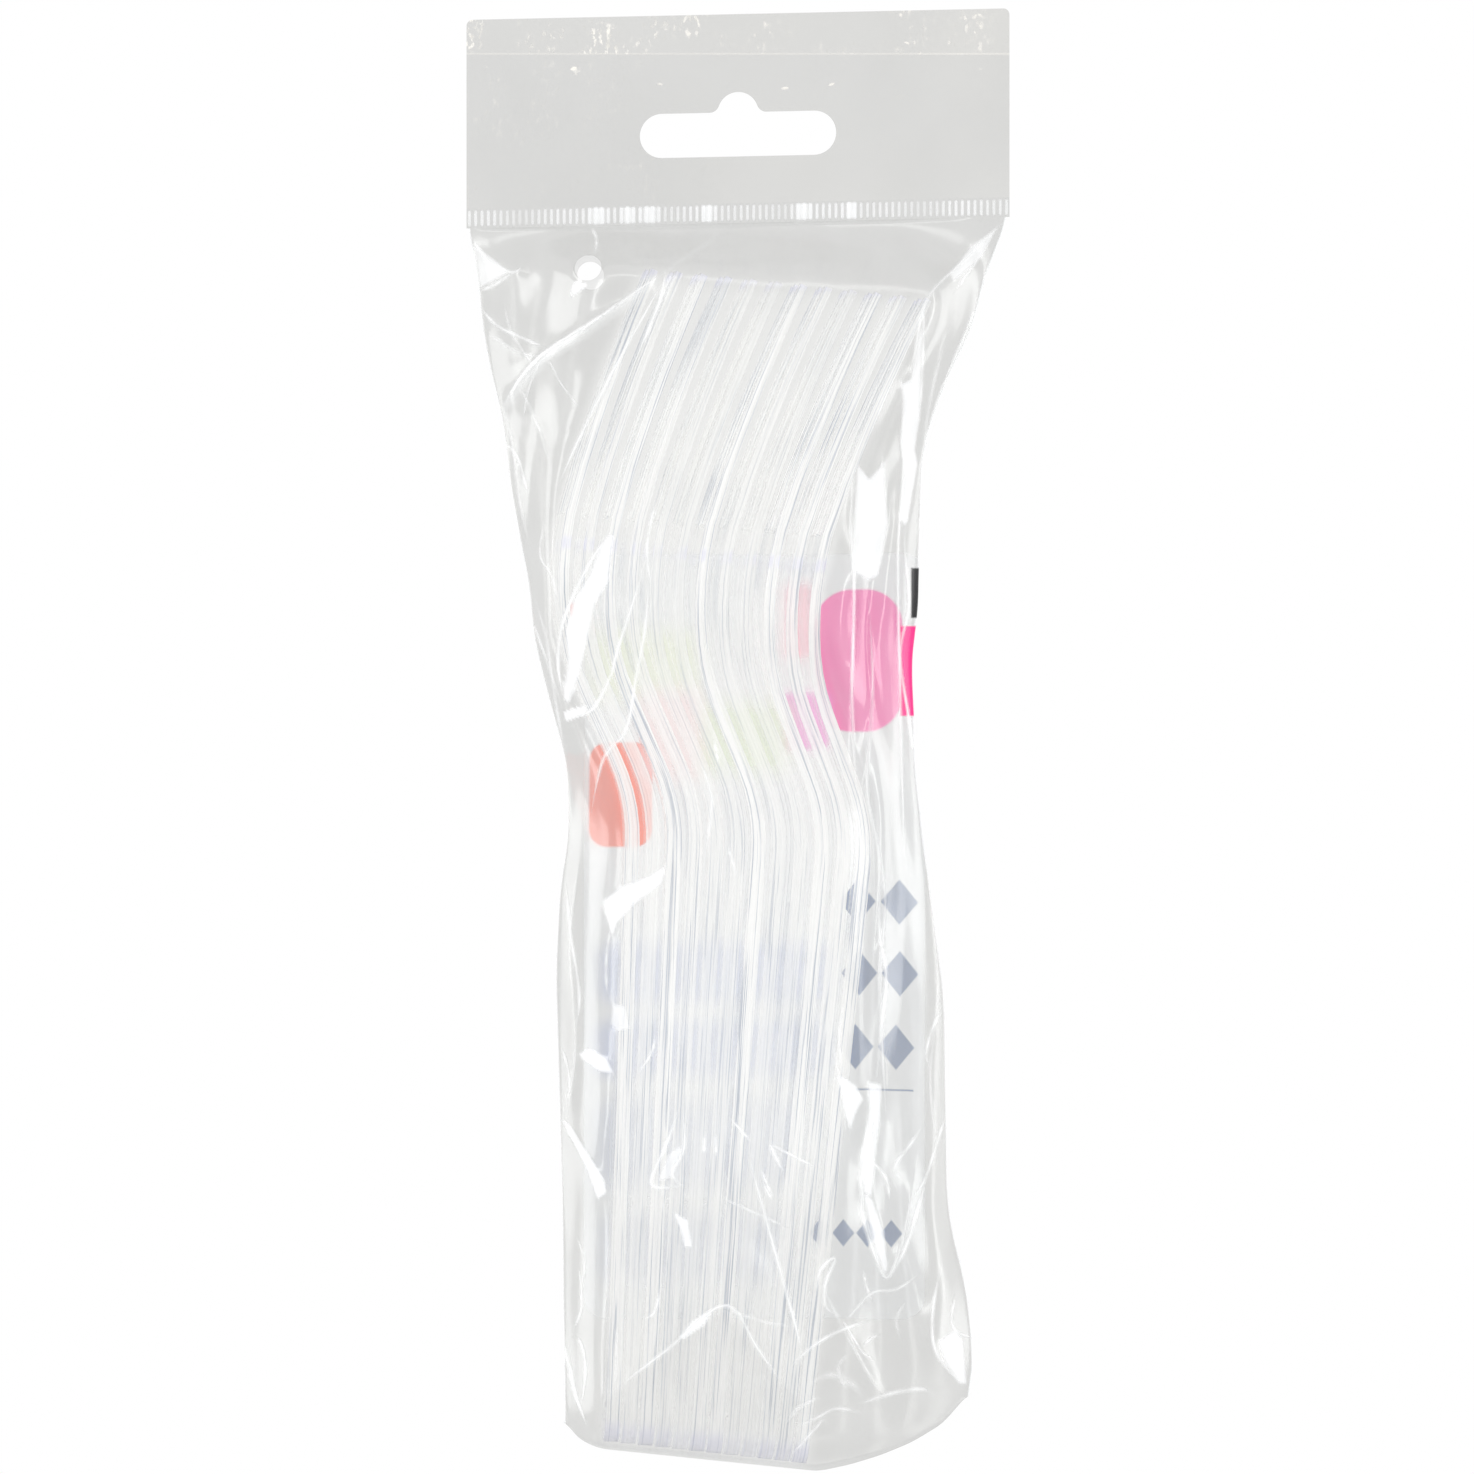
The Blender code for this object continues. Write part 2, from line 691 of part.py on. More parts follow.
def bag_mesh(stack):
    pouch = pouch_levels(stack)
    lift_folds(pouch)
    header = header_levels()
    bm = bmesh.new()
    loops = [level_vertices(bm, level, "none") for level in header]
    loops += [level_vertices(bm, level, "seams") for level in pouch[:-1]]
    loops.append(level_vertices(bm, pouch[-1], "all"))
    skin(bm, loops)
    near, far = loops[0]
    for k in range(len(near) - 1):
        face_of(bm, (near[k], near[k + 1], far[k + 1], far[k]))
    bmesh.ops.recalc_face_normals(bm, faces=bm.faces)
    bm.normal_update()
    inside = [inner_level(loop) for loop in loops[len(header) - 1 :]]
    inside[0] = weld_line(header[-1])
    inner = bmesh.new()
    inner_loops = [level_vertices(inner, inside[0], "all")]
    inner_loops += [level_vertices(inner, level, "seams") for level in inside[1:-1]]
    inner_loops.append(level_vertices(inner, inside[-1], "all"))
    skin(inner, inner_loops)
    bmesh.ops.recalc_face_normals(inner, faces=inner.faces)
    bmesh.ops.reverse_faces(inner, faces=inner.faces)
    cavity = bpy.data.meshes.new("cavity")
    inner.to_mesh(cavity)
    inner.free()
    bm.from_mesh(cavity)
    mesh = bpy.data.meshes.new("bag")
    bm.to_mesh(mesh)
    bm.free()
    mesh.shade_smooth()
    mesh.set_sharp_from_angle(angle=math.radians(40))
    return mesh


def inner_level(loop):
    """The inside of the film, one film thickness in from a level's outer vertices."""
    near, far = loop
    return {-1: [v.co - v.normal * FILM for v in near], 1: [v.co - v.normal * FILM for v in far]}


def weld_line(level):
    """The inner edge of the weld, where the two walls part."""
    line = [Vector((p.x, 0.0, p.z - WELD_LEAD)) for p in level[-1]]
    line[0].x += FILM
    line[-1].x -= FILM
    return {-1: line, 1: line}


def arc(centre, radius, start, end, count):
    """Points along an arc, both ends included, with the angles in radians."""
    points = []
    for k in range(count + 1):
        angle = mix(start, end, k / count)
        points.append((centre[0] + radius * math.cos(angle), centre[1] + radius * math.sin(angle)))
    return points


def slot_outline():
    """The hang slot: a long round-ended slot, with a round bump in the middle of its top."""
    top = -SLOT_BUMP_RADIUS
    end = SLOT_HEIGHT / 2
    reach = SLOT_WIDTH / 2 - end
    joined = SLOT_BUMP_RADIUS + SLOT_FILLET_RADIUS
    aside = math.sqrt(joined**2 - SLOT_FILLET_RADIUS**2)
    tilt = math.asin(SLOT_FILLET_RADIUS / joined)
    quarter = math.pi / 2
    fillet_top = top + SLOT_FILLET_RADIUS
    points = arc((reach, top - end), end, -quarter, quarter, ROUND_STEPS)
    points += arc((aside, fillet_top), SLOT_FILLET_RADIUS, 3 * quarter, math.pi + tilt, FILLET_STEPS)
    points += arc((0.0, top), SLOT_BUMP_RADIUS, tilt, math.pi - tilt, ROUND_STEPS)[1:-1]
    points += arc((-aside, fillet_top), SLOT_FILLET_RADIUS, -tilt, -quarter, FILLET_STEPS)
    points += arc((-reach, top - end), end, quarter, 3 * quarter, ROUND_STEPS)
    return points


def prism(name, outline, front, back):
    """A cutter of this outline in X and Z, between two depths."""
    bm = bmesh.new()
    near = [bm.verts.new((x, front, z)) for x, z in outline]
    far = [bm.verts.new((x, back, z)) for x, z in outline]
    bm.faces.new(near)
    bm.faces.new(far[::-1])
    for k in range(len(near)):
        bm.faces.new((near[k], far[k], far[k - 1], near[k - 1]))
    bmesh.ops.recalc_face_normals(bm, faces=bm.faces)
    mesh = bpy.data.meshes.new(name)
    bm.to_mesh(mesh)
    bm.free()
    cutter = bpy.data.objects.new(name, mesh)
    bpy.context.scene.collection.objects.link(cutter)
    cutter.hide_render = True
    cutter.display_type = "WIRE"
    return cutter


def cut(obj, cutter):
    modifier = obj.modifiers.new(cutter.name, "BOOLEAN")
    modifier.operation = "DIFFERENCE"
    modifier.solver = "EXACT"
    modifier.object = cutter


def add_bag(stack, look):
    bag = bpy.data.objects.new("header_bag", bag_mesh(stack))
    bag.data.materials.append(look)
    bpy.context.scene.collection.objects.link(bag)
    reach = HEADER_WIDTH / 4
    cut(bag, prism("hang_slot_cutter", slot_outline(), -reach, reach))
    circle = [
        (
            VENT_SIDE + VENT_RADIUS * math.cos(2 * math.pi * k / (2 * ROUND_STEPS)),
            -VENT_DROP + VENT_RADIUS * math.sin(2 * math.pi * k / (2 * ROUND_STEPS)),
        )
        for k in range(2 * ROUND_STEPS)
    ]
    cut(bag, prism("vent_cutter", circle, -reach, 0.0))


def add_forks(stack, profile, look):
    mesh = fork_mesh(profile)
    mesh.materials.append(look)
    for index in range(FORK_COUNT):
        fork = bpy.data.objects.new(f"fork_{index + 1:02d}", mesh)
        bpy.context.scene.collection.objects.link(fork)
        fork.matrix_world = stack.matrix(index)


def main():
    clear_scene()
    profile = Profile()
    stack = Stack(profile)
    add_forks(stack, profile, material("fork"))
    add_bag(stack, material("film"))


main()
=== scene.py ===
import math
import bpy
import bmesh
import numpy as np
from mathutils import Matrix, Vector
from mathutils.bvhtree import BVHTree


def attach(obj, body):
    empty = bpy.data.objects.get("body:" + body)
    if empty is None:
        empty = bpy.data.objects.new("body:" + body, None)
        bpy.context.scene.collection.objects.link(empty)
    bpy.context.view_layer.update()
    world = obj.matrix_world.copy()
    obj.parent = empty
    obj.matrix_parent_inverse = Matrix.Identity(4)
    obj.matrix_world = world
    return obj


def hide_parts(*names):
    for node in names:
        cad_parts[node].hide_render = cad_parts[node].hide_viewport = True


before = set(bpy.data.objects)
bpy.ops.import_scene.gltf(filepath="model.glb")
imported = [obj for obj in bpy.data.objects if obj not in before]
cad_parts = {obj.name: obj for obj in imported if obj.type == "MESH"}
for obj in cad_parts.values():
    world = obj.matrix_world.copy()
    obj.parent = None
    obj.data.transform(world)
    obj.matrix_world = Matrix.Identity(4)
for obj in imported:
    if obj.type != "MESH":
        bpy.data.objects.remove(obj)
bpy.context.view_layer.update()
print("frame loaded")

scene = bpy.context.scene
scene.view_settings.view_transform = "Standard"

# many clear layers lie behind each other, but light scatters little between them
scene.cycles.transparent_max_bounces = 64
scene.cycles.max_bounces = 6
scene.cycles.transmission_bounces = 2
scene.cycles.glossy_bounces = 2
scene.cycles.diffuse_bounces = 3

# the photograph's own pixels, where one is this many metres at the header
photo = {"size": 1474, "metresPerPixel": 0.000163, "slotTop": (738, 92)}


def spot(x, y):
    # x and z on the pack for a place in the photograph
    step = photo["metresPerPixel"]
    return (x - photo["slotTop"][0]) * step, (photo["slotTop"][1] - y) * step


# camera

view = {
    "distance": 1.25,
    "centre": (737, 737),
    "sensor": 36,
    "nearest": 0.05,
    "farthest": 20,
}


def addCamera():
    data = bpy.data.cameras.new("packCamera")
    camera = bpy.data.objects.new("packCamera", data)
    scene.collection.objects.link(camera)
    x, z = spot(*view["centre"])
    camera.location = (x, -view["distance"], z)
    camera.rotation_euler = (math.radians(90), 0, 0)
    data.sensor_width = view["sensor"]
    data.lens = view["sensor"] * view["distance"] / (photo["size"] * photo["metresPerPixel"])
    data.clip_start = view["nearest"]
    data.clip_end = view["farthest"]
    scene.camera = camera


addCamera()
print("camera set")


# shader maths

class Wire:
    # a socket that adds its Math nodes when it is used in an expression
    def __init__(self, shader, socket):
        self.shader = shader
        self.socket = socket

    def maths(self, operation, *values):
        return self.shader.node("ShaderNodeMath", {"operation": operation}, dict(enumerate(values)))

    def __add__(self, other):
        return self.maths("ADD", self, other)

    def __radd__(self, other):
        return self.maths("ADD", other, self)

    def __sub__(self, other):
        return self.maths("SUBTRACT", self, other)

    def __rsub__(self, other):
        return self.maths("SUBTRACT", other, self)

    def __mul__(self, other):
        return self.maths("MULTIPLY", self, other)

    def __rmul__(self, other):
        return self.maths("MULTIPLY", other, self)

    def __truediv__(self, other):
        return self.maths("DIVIDE", self, other)

    def __abs__(self):
        return self.maths("ABSOLUTE", self)

    def least(self, other):
        return self.maths("MINIMUM", self, other)

    def most(self, other):
        return self.maths("MAXIMUM", self, other)

    def whole(self):
        return self.maths("FLOOR", self)

    def power(self, other):
        return self.maths("POWER", self, other)

    def ramp(self, low, high, start=0.0, end=1.0):
        # eased from start to end as the value goes from low to high
        inputs = {"Value": self, "From Min": low, "From Max": high, "To Min": start, "To Max": end}
        return self.shader.node("ShaderNodeMapRange", {"interpolation_type": "SMOOTHSTEP"}, inputs)


class Shader:
    # the nodes of one new material or world
    def __init__(self, owner, output="ShaderNodeOutputMaterial"):
        owner.use_nodes = True
        self.owner = owner
        self.tree = owner.node_tree
        self.tree.nodes.clear()
        self.output = self.tree.nodes.new(output)

    def node(self, kind, settings=None, inputs=None, output=0):
        made = self.tree.nodes.new(kind)
        for name, value in (settings or {}).items():
            setattr(made, name, value)
        for name, value in (inputs or {}).items():
            if isinstance(value, Wire):
                self.tree.links.new(value.socket, made.inputs[name])
            else:
                made.inputs[name].default_value = value
        return Wire(self, made.outputs[output])

    def outputs(self, wire, names):
        # several outputs of the node that this wire comes from
        return [Wire(self, wire.socket.node.outputs[name]) for name in names]

    def attribute(self, name):
        return self.node("ShaderNodeAttribute", {"attribute_name": name}, {}, "Fac")

    def place(self):
        # the point on the pack, in metres
        return self.node("ShaderNodeTexCoord", {}, {}, "Object")

    def axes(self, vector, names="XYZ"):
        return self.outputs(self.node("ShaderNodeSeparateXYZ", {}, {0: vector}), names)

    def vector(self, *values):
        return self.node("ShaderNodeCombineXYZ", {}, dict(enumerate(values)))

    def noise(self, point, scale, detail=2.0, rough=0.5):
        inputs = {"Vector": point, "Scale": scale, "Detail": detail, "Roughness": rough}
        return self.node("ShaderNodeTexNoise", {}, inputs, "Fac")

    def stretched(self, point, scale):
        return self.node("ShaderNodeMapping", {}, {"Vector": point, "Scale": scale})

    def facing(self, blend):
        # nought where the surface faces the eye, one where it is seen edge on
        return self.node("ShaderNodeLayerWeight", {}, {"Blend": blend}, "Facing")

    def bump(self, height, strength, distance):
        return self.node("ShaderNodeBump", {}, {"Height": height, "Strength": strength, "Distance": distance})

    def mixColour(self, amount, first, second):
        return self.node("ShaderNodeMix", {"data_type": "RGBA"}, {0: amount, 6: first, 7: second}, 2)

    def mixLayers(self, share, first, second):
        return self.node("ShaderNodeMixShader", {}, {0: share, 1: first, 2: second})

    def clear(self, colour):
        return self.node("ShaderNodeBsdfTransparent", {}, {"Color": colour})

    def skin(self, inputs):
        return self.node("ShaderNodeBsdfPrincipled", {}, inputs)

    def surface(self, wire, passing=None):
        # light on its way to a lamp passes through clear film and plastic, dimmed by this colour
        if passing:
            shadow = self.node("ShaderNodeLightPath", {}, {}, "Is Shadow Ray")
            wire = self.mixLayers(shadow, wire, self.clear(passing))
        self.tree.links.new(wire.socket, self.output.inputs["Surface"])
        return self.owner


# print on the film, as plain fields of colour

printing = {
    "panel": (583, 552, 926, 1322),
    "panelCorner": 0.004,
    "panelWhite": (0.82, 0.84, 0.86, 1),
    "panelCover": 0.26,
    "panelMatt": 0.8,
    "edgeSoft": 0.00025,
    # box in the photograph, colour, depth, corner radius and softness
    "fields": (
        ((815, 588, 903, 732), (1.0, 0.14, 0.48, 1), 0.86, 0.0060, 0.0003),
        ((588, 742, 652, 848), (1.0, 0.22, 0.14, 1), 0.80, 0.0030, 0.0003),
        ((780, 690, 832, 752), (0.90, 0.25, 0.70, 1), 0.60, 0.0020, 0.0012),
        ((782, 580, 816, 660), (1.0, 0.40, 0.50, 1), 0.50, 0.0020, 0.0014),
        ((590, 630, 700, 700), (0.74, 0.82, 0.50, 1), 0.34, 0.0030, 0.0030),
        ((690, 700, 790, 775), (0.66, 0.78, 0.46, 1), 0.42, 0.0030, 0.0026),
        ((640, 690, 700, 780), (0.98, 0.62, 0.62, 1), 0.36, 0.0020, 0.0026),
        ((566, 600, 580, 640), (0.85, 0.30, 0.28, 1), 0.50, 0.0008, 0.0006),
        ((600, 944, 836, 1004), (0.30, 0.38, 0.66, 1), 0.26, 0.0030, 0.0022),
        ((596, 1022, 832, 1078), (0.30, 0.38, 0.66, 1), 0.24, 0.0030, 0.0022),
        ((600, 1104, 800, 1190), (0.38, 0.44, 0.62, 1), 0.26, 0.0030, 0.0030),
        ((604, 1216, 784, 1284), (0.38, 0.44, 0.62, 1), 0.26, 0.0030, 0.0030),
    ),
    # these two turn round the right-hand edge, onto the near wall
    "edgeFields": (
        ((900, 626, 940, 716), (0.93, 0.02, 0.24, 1), 0.92, 0.0, 0.0002),
        ((911, 568, 940, 618), (0.010, 0.010, 0.012, 1), 0.95, 0.0, 0.0002),
    ),
    "ink": (0.09, 0.16, 0.32, 1),
    "inkDepth": 0.72,
    "rules": ((840, 1091, 914, 1093),),
    "ruleSoft": 0.0001,
    # rows of diamonds: box, and how far apart they are
    "diamonds": (
        ((838, 880, 921, 926), 41.5),
        ((840, 952, 921, 998), 40.5),
        ((836, 1026, 917, 1072), 40.5),
        ((808, 1222, 904, 1250), 24.0),
    ),
    "diamondSlant": 1.25,  # how much taller than wide a diamond is
    "diamondSoft": 0.0002,
    "rowEndSoft": 0.00005,
}


def middleOf(box):
    # the middle and the half sizes on the pack of a box in the photograph
    x0, z0 = spot(box[0], box[1])
    x1, z1 = spot(box[2], box[3])
    return (x0 + x1) / 2, (z0 + z1) / 2, (x1 - x0) / 2, (z0 - z1) / 2


def fieldMask(x, z, box, soft, corner=0.0):
    # one inside the box, nought outside
    middleX, middleZ, halfX, halfZ = middleOf(box)
    awayX = abs(x - middleX) - (halfX - corner)
    awayZ = abs(z - middleZ) - (halfZ - corner)
    if corner:
        outX, outZ = awayX.most(0.0), awayZ.most(0.0)
        away = (outX * outX + outZ * outZ).power(0.5) - corner
    else:
        away = awayX.most(awayZ)
    return away.ramp(soft, -soft)


def diamondMask(x, z, box, pitch):
    # a row of diamonds, as high as the box
    middleX, middleZ, halfX, halfZ = middleOf(box)
    step = pitch * photo["metresPerPixel"]
    share = (x - (middleX - halfX)) / step
    across = abs(share - share.whole() - 0.5) * step
    away = across * printing["diamondSlant"] + abs(z - middleZ) - halfZ
    pastEnd = abs(x - middleX) - halfX
    end, soft = printing["rowEndSoft"], printing["diamondSoft"]
    return away.ramp(soft, -soft) * pastEnd.ramp(end, -end)


def inkMask(x, z):
    masks = [fieldMask(x, z, box, printing["ruleSoft"]) for box in printing["rules"]]
    masks += [diamondMask(x, z, box, pitch) for box, pitch in printing["diamonds"]]
    ink = masks[0]
    for mask in masks[1:]:
        ink = ink.most(mask)
    return ink


# clear film

film = {
    "cover": 0.17,  # how much of one layer is seen against what lies behind it
    "tautCover": 0.06,  # the same where it is drawn over the forks
    # how much whitened creases and painted highlights show
    "creaseAndHighlightCover": 0.90,
    "rimCover": 0.40,
    "rimBlend": 0.22,
    "rimTaut": 0.6,  # how much of the rim is lost over the forks
    "mostCover": 0.97,
    "tint": (0.893, 0.892, 0.887, 1),
    "tautTint": (0.985, 0.985, 0.980, 1),
    "grey": (0.54, 0.545, 0.535, 1),
    # the colour of whitened creases and of painted highlights
    "white": (0.96, 0.97, 0.98, 1),
    "whiteFrom": 0.30,  # whitening and a painted highlight of this strength are wholly white
    "passing": (0.94, 0.94, 0.94, 1),
    "roughness": 0.22,
    "metallic": 0.85,
    "index": 1.5,
    "cloudScale": 90.0,
    "cloudDepth": 0.04,
    "cloudBump": 0.7,
    "fineScale": 420.0,
    "fineStretch": (1.0, 1.0, 0.25),
    "fineBump": 0.3,
    "bump": 0.25,
    "bumpHeight": 0.0004,
}


def filmMaterial(name, printed=False):
    shader = Shader(bpy.data.materials.new(name))
    point = shader.place()
    x, z = shader.axes(point, "XZ")
    whitening_and_highlight = shader.attribute("whitening_and_highlight").least(1.0)
    taut = shader.attribute("taut")
    cloud = shader.noise(point, film["cloudScale"], 3.0)
    fine = shader.noise(shader.stretched(point, film["fineStretch"]), film["fineScale"])
    # whitened creases and the painted highlights of folds, patches and crests turn the film white and less
    # metallic
    whitenAndHighlight = whitening_and_highlight.ramp(0.0, film["whiteFrom"])
    colour = shader.mixColour(whitenAndHighlight, film["grey"], film["white"])
    metallic = film["metallic"] - whitenAndHighlight * film["metallic"]
    rim = shader.facing(film["rimBlend"]).power(2.0) * film["rimCover"]
    cover = film["cover"] - taut * (film["cover"] - film["tautCover"]) + (cloud - 0.5) * film["cloudDepth"]
    cover = cover + whitening_and_highlight * film["creaseAndHighlightCover"] + rim * (1.0 - taut * film["rimTaut"])
    layers = [(fieldMask(x, z, box, soft, corner), tint, depth)
              for box, tint, depth, corner, soft in printing["edgeFields"]]
    if printed:
        panel = fieldMask(x, z, printing["panel"], printing["edgeSoft"], printing["panelCorner"])
        colour = shader.mixColour(panel, colour, printing["panelWhite"])
        cover = cover + panel * printing["panelCover"]
        metallic = metallic * (1.0 - panel * printing["panelMatt"])
        fields = [(fieldMask(x, z, box, soft, corner), tint, depth)
                  for box, tint, depth, corner, soft in printing["fields"]]
        layers = [(inkMask(x, z), printing["ink"], printing["inkDepth"])] + fields + layers
    for mask, tint, depth in layers:
        colour = shader.mixColour(mask, colour, tint)
        cover = cover.most(mask * depth)
        metallic = metallic * (1.0 - mask)
    height = cloud * film["cloudBump"] + fine * film["fineBump"]
    skin = shader.skin({
        "Base Color": colour, "Roughness": film["roughness"], "Metallic": metallic.most(0.0),
        "IOR": film["index"], "Normal": shader.bump(height, film["bump"], film["bumpHeight"])})
    clear = shader.mixLayers(taut, shader.clear(film["tint"]), shader.clear(film["tautTint"]))
    whole = shader.mixLayers(cover.least(film["mostCover"]), clear, skin)
    return shader.surface(whole, film["passing"])


# the pouch walls

pouch = {
    "top": -0.0213,
    "low": -0.22,  # where the lower edge is first looked for
    "columns": 205,
    "rows": 470,
    "seamGather": 0.08,  # columns lie a little closer together towards the seams
    "outlineLow": -0.2125,
    "outlineRows": 170,
    "outlineColumns": 120,
    "outlineInset": 0.0002,
    "vent": (-0.0242, -0.0294, 0.0022),  # x, z and radius
    "ventSnap": 0.0004,
    "ventInside": 0.0001,
    "ventRim": 1.15,  # the film over the bag's own hole lies as it does this far out
    "castFrom": 0.1,
    "drape": 60,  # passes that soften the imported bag's own facets
    "settle": 2,  # passes that soften the film once it lies on the forks
    "weldDepth": 0.0002,
    "leastDepth": 0.85,  # a crumple takes no more than the rest from the pouch's depth
    "looseFrom": (0.0005, 0.004),  # depths between which the film begins to crumple
    "tautSpread": 24,
    "tautGain": 1.5,
    "tautCut": 0.1,
    "tautWhite": (0.1, 0.4),  # whiteness between which a crease comes loose from the forks
    "tautness": 0.75,  # how much flatter the film lies over the forks
    "clearance": 0.0003,  # between the forks and the film
    "headerRoll": 0.0213,  # the header hangs a little higher on its right
    "rollFrom": (-0.060, -0.021),
    # a fold is paler between these bends, where the pouch is this deep: partly stress whitening, partly a
    # painted highlight along its crest
    "ridgeBend": (0.40, 1.2),
    "ridgeWhitenAndHighlight": 0.16,
    "ridgeDepth": (0.001, 0.003),
    "seamWhite": 0.5,
    "seamWidth": 0.0003,
    # the bottom fold, where the film lies double
    "gusset": ((570, 1456), (572, 1410), (612, 1389), (723, 1305), (792, 1388), (806, 1400), (800, 1460)),
    "gussetDepth": 0.60,
    "gussetSoft": 0.0008,
    # the forks are less clear near the bottom
    "hazeLow": 0.35,
    "hazeFrom": (0.168, 0.188),
}


class Outline:
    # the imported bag's left, right and lower edges
    def __init__(self, node):
        mesh = node.data
        inset = pouch["outlineInset"]
        points = np.array([v.co[:] for v in mesh.vertices])
        edges = np.array([e.vertices[:] for e in mesh.edges])
        self.start, self.end = points[edges[:, 0]], points[edges[:, 1]]
        self.heights = np.linspace(pouch["outlineLow"], pouch["top"] - inset, pouch["outlineRows"])
        sides = [self.crossings(2, 0, h) for h in self.heights]
        self.left = self.smooth([s.min() for s in sides], 3)
        self.right = self.smooth([s.max() for s in sides], 3)
        self.xs = np.linspace(self.left[0] + inset, self.right[0] - inset, pouch["outlineColumns"])
        self.low = self.smooth([self.crossings(0, 2, x).min() for x in self.xs], 2)

    def crossings(self, across, along, level):
        # where the mesh's edges cross this level
        a, b = self.start[:, across] - level, self.end[:, across] - level
        hit = a * b < 0
        share = a[hit] / (a[hit] - b[hit])
        return self.start[hit, along] + share * (self.end[hit, along] - self.start[hit, along])

    def smooth(self, values, reach):
        padded = np.pad(np.array(values), reach, mode="edge")
        return np.convolve(padded, np.ones(2 * reach + 1) / (2 * reach + 1), mode="valid")

    def leftAt(self, z):
        return np.interp(z, self.heights, self.left)

    def rightAt(self, z):
        return np.interp(z, self.heights, self.right)

    def lowAt(self, x):
        return np.interp(x, self.xs, self.low)


def wallGrid(outline):
    # columns from seam to seam, rows from the weld to the lower edge
    u = np.linspace(0, 1, pouch["columns"] + 1)[None, :]
    v = np.linspace(0, 1, pouch["rows"] + 1)[:, None]
    gather = pouch["seamGather"]
    u = 0.5 - 0.5 * np.cos(math.pi * (gather + (1 - 2 * gather) * u))
    u = (u - u.min()) / (u.max() - u.min())
    z = pouch["top"] + (pouch["low"] - pouch["top"]) * v + 0 * u
    for turn in range(5):
        x = outline.leftAt(z) + (outline.rightAt(z) - outline.leftAt(z)) * u
        z = pouch["top"] + (outline.lowAt(x) - pouch["top"]) * v
    return x, z


def treeOf(*nodes):
    points, faces = [], []
    for node in nodes:
        mesh = node.data
        mesh.calc_loop_triangles()
        first = len(points)
        points += [v.co[:] for v in mesh.vertices]
        faces += [[first + k for k in t.vertices] for t in mesh.loop_triangles]
    return BVHTree.FromPolygons(points, faces)


def castWall(tree, x, z, side):
    # how far what is in the tree stands out at each point, nought beside it
    depth = np.zeros_like(x)
    ventX, ventZ, ventRadius = pouch["vent"]
    rim = ventRadius * pouch["ventRim"]
    for index in np.ndindex(x.shape):
        px, pz = x[index], z[index]
        away = math.hypot(px - ventX, pz - ventZ)
        if side < 0 and away < rim:
            reach = rim / max(away, 1e-5)
            px, pz = ventX + (px - ventX) * reach, ventZ + (pz - ventZ) * reach
        hit = tree.ray_cast(Vector((px, side * pouch["castFrom"], pz)), Vector((0, -side, 0)))[0]
        if hit is not None and hit.y * side > 0:
            depth[index] = abs(hit.y)
    return depth


def soften(values, passes):
    for turn in range(passes):
        padded = np.pad(values, 1, mode="edge")
        around = padded[:-2, 1:-1] + padded[2:, 1:-1] + padded[1:-1, :-2] + padded[1:-1, 2:]
        values = (around + 2 * values) / 6
    return values


def ease(value, low, high):
    share = np.clip((value - low) / (high - low), 0, 1)
    return share * share * (3 - 2 * share)


def alongLine(x, z, points):
    # distance from a line of points, the side it lies on, and how far along it is
    best = np.full(x.shape, 1e9)
    hand = np.zeros(x.shape)
    share = np.zeros(x.shape)
    runs = [math.dist(a, b) for a, b in zip(points, points[1:])]
    total, done = sum(runs), 0.0
    for (x0, z0), (x1, z1), run in zip(points, points[1:], runs):
        dx, dz = x1 - x0, z1 - z0
        t = np.clip(((x - x0) * dx + (z - z0) * dz) / run**2, 0, 1)
        away = np.hypot(x - x0 - t * dx, z - z0 - t * dz)
        nearer = away < best
        best = np.where(nearer, away, best)
        hand = np.where(nearer, np.sign((x - x0) * dz - (z - z0) * dx), hand)
        share = np.where(nearer, (done + t * run) / total, share)
        done += run
    return best, hand, share


def between(p, q, r, w, t):
    # the smooth curve from q to r, which heads there from p and on to w
    return 0.5 * (2 * q + (r - p) * t + (2 * p - 5 * q + 4 * r - w) * t**2 + (3 * q - p - 3 * r + w) * t**3)


def curved(places, steps=6):
    # places in the photograph, as points on the pack on a smooth curve
    points = [spot(*place) for place in places]
    if len(points) < 3:
        return points
    ends = points[:1] + points + points[-1:]
    found = points[:1]
    for four in zip(ends, ends[1:], ends[2:], ends[3:]):
        found += [tuple(between(*axis, k / steps) for axis in zip(*four)) for k in range(1, steps + 1)]
    return found


def insideShape(x, z, places):
    # distance inward from the edge of a closed shape in the photograph, nought outside it
    points = [spot(*place) for place in places]
    inside = np.zeros(x.shape, bool)
    for (x0, z0), (x1, z1) in zip(points, points[1:] + points[:1]):
        crosses = (z0 > z) != (z1 > z)
        at = x0 + (z - z0) / (z1 - z0 if z1 != z0 else 1e-9) * (x1 - x0)
        inside ^= crosses & (x < at)
    edge = alongLine(x, z, points + points[:1])[0]
    return np.where(inside, edge, 0)
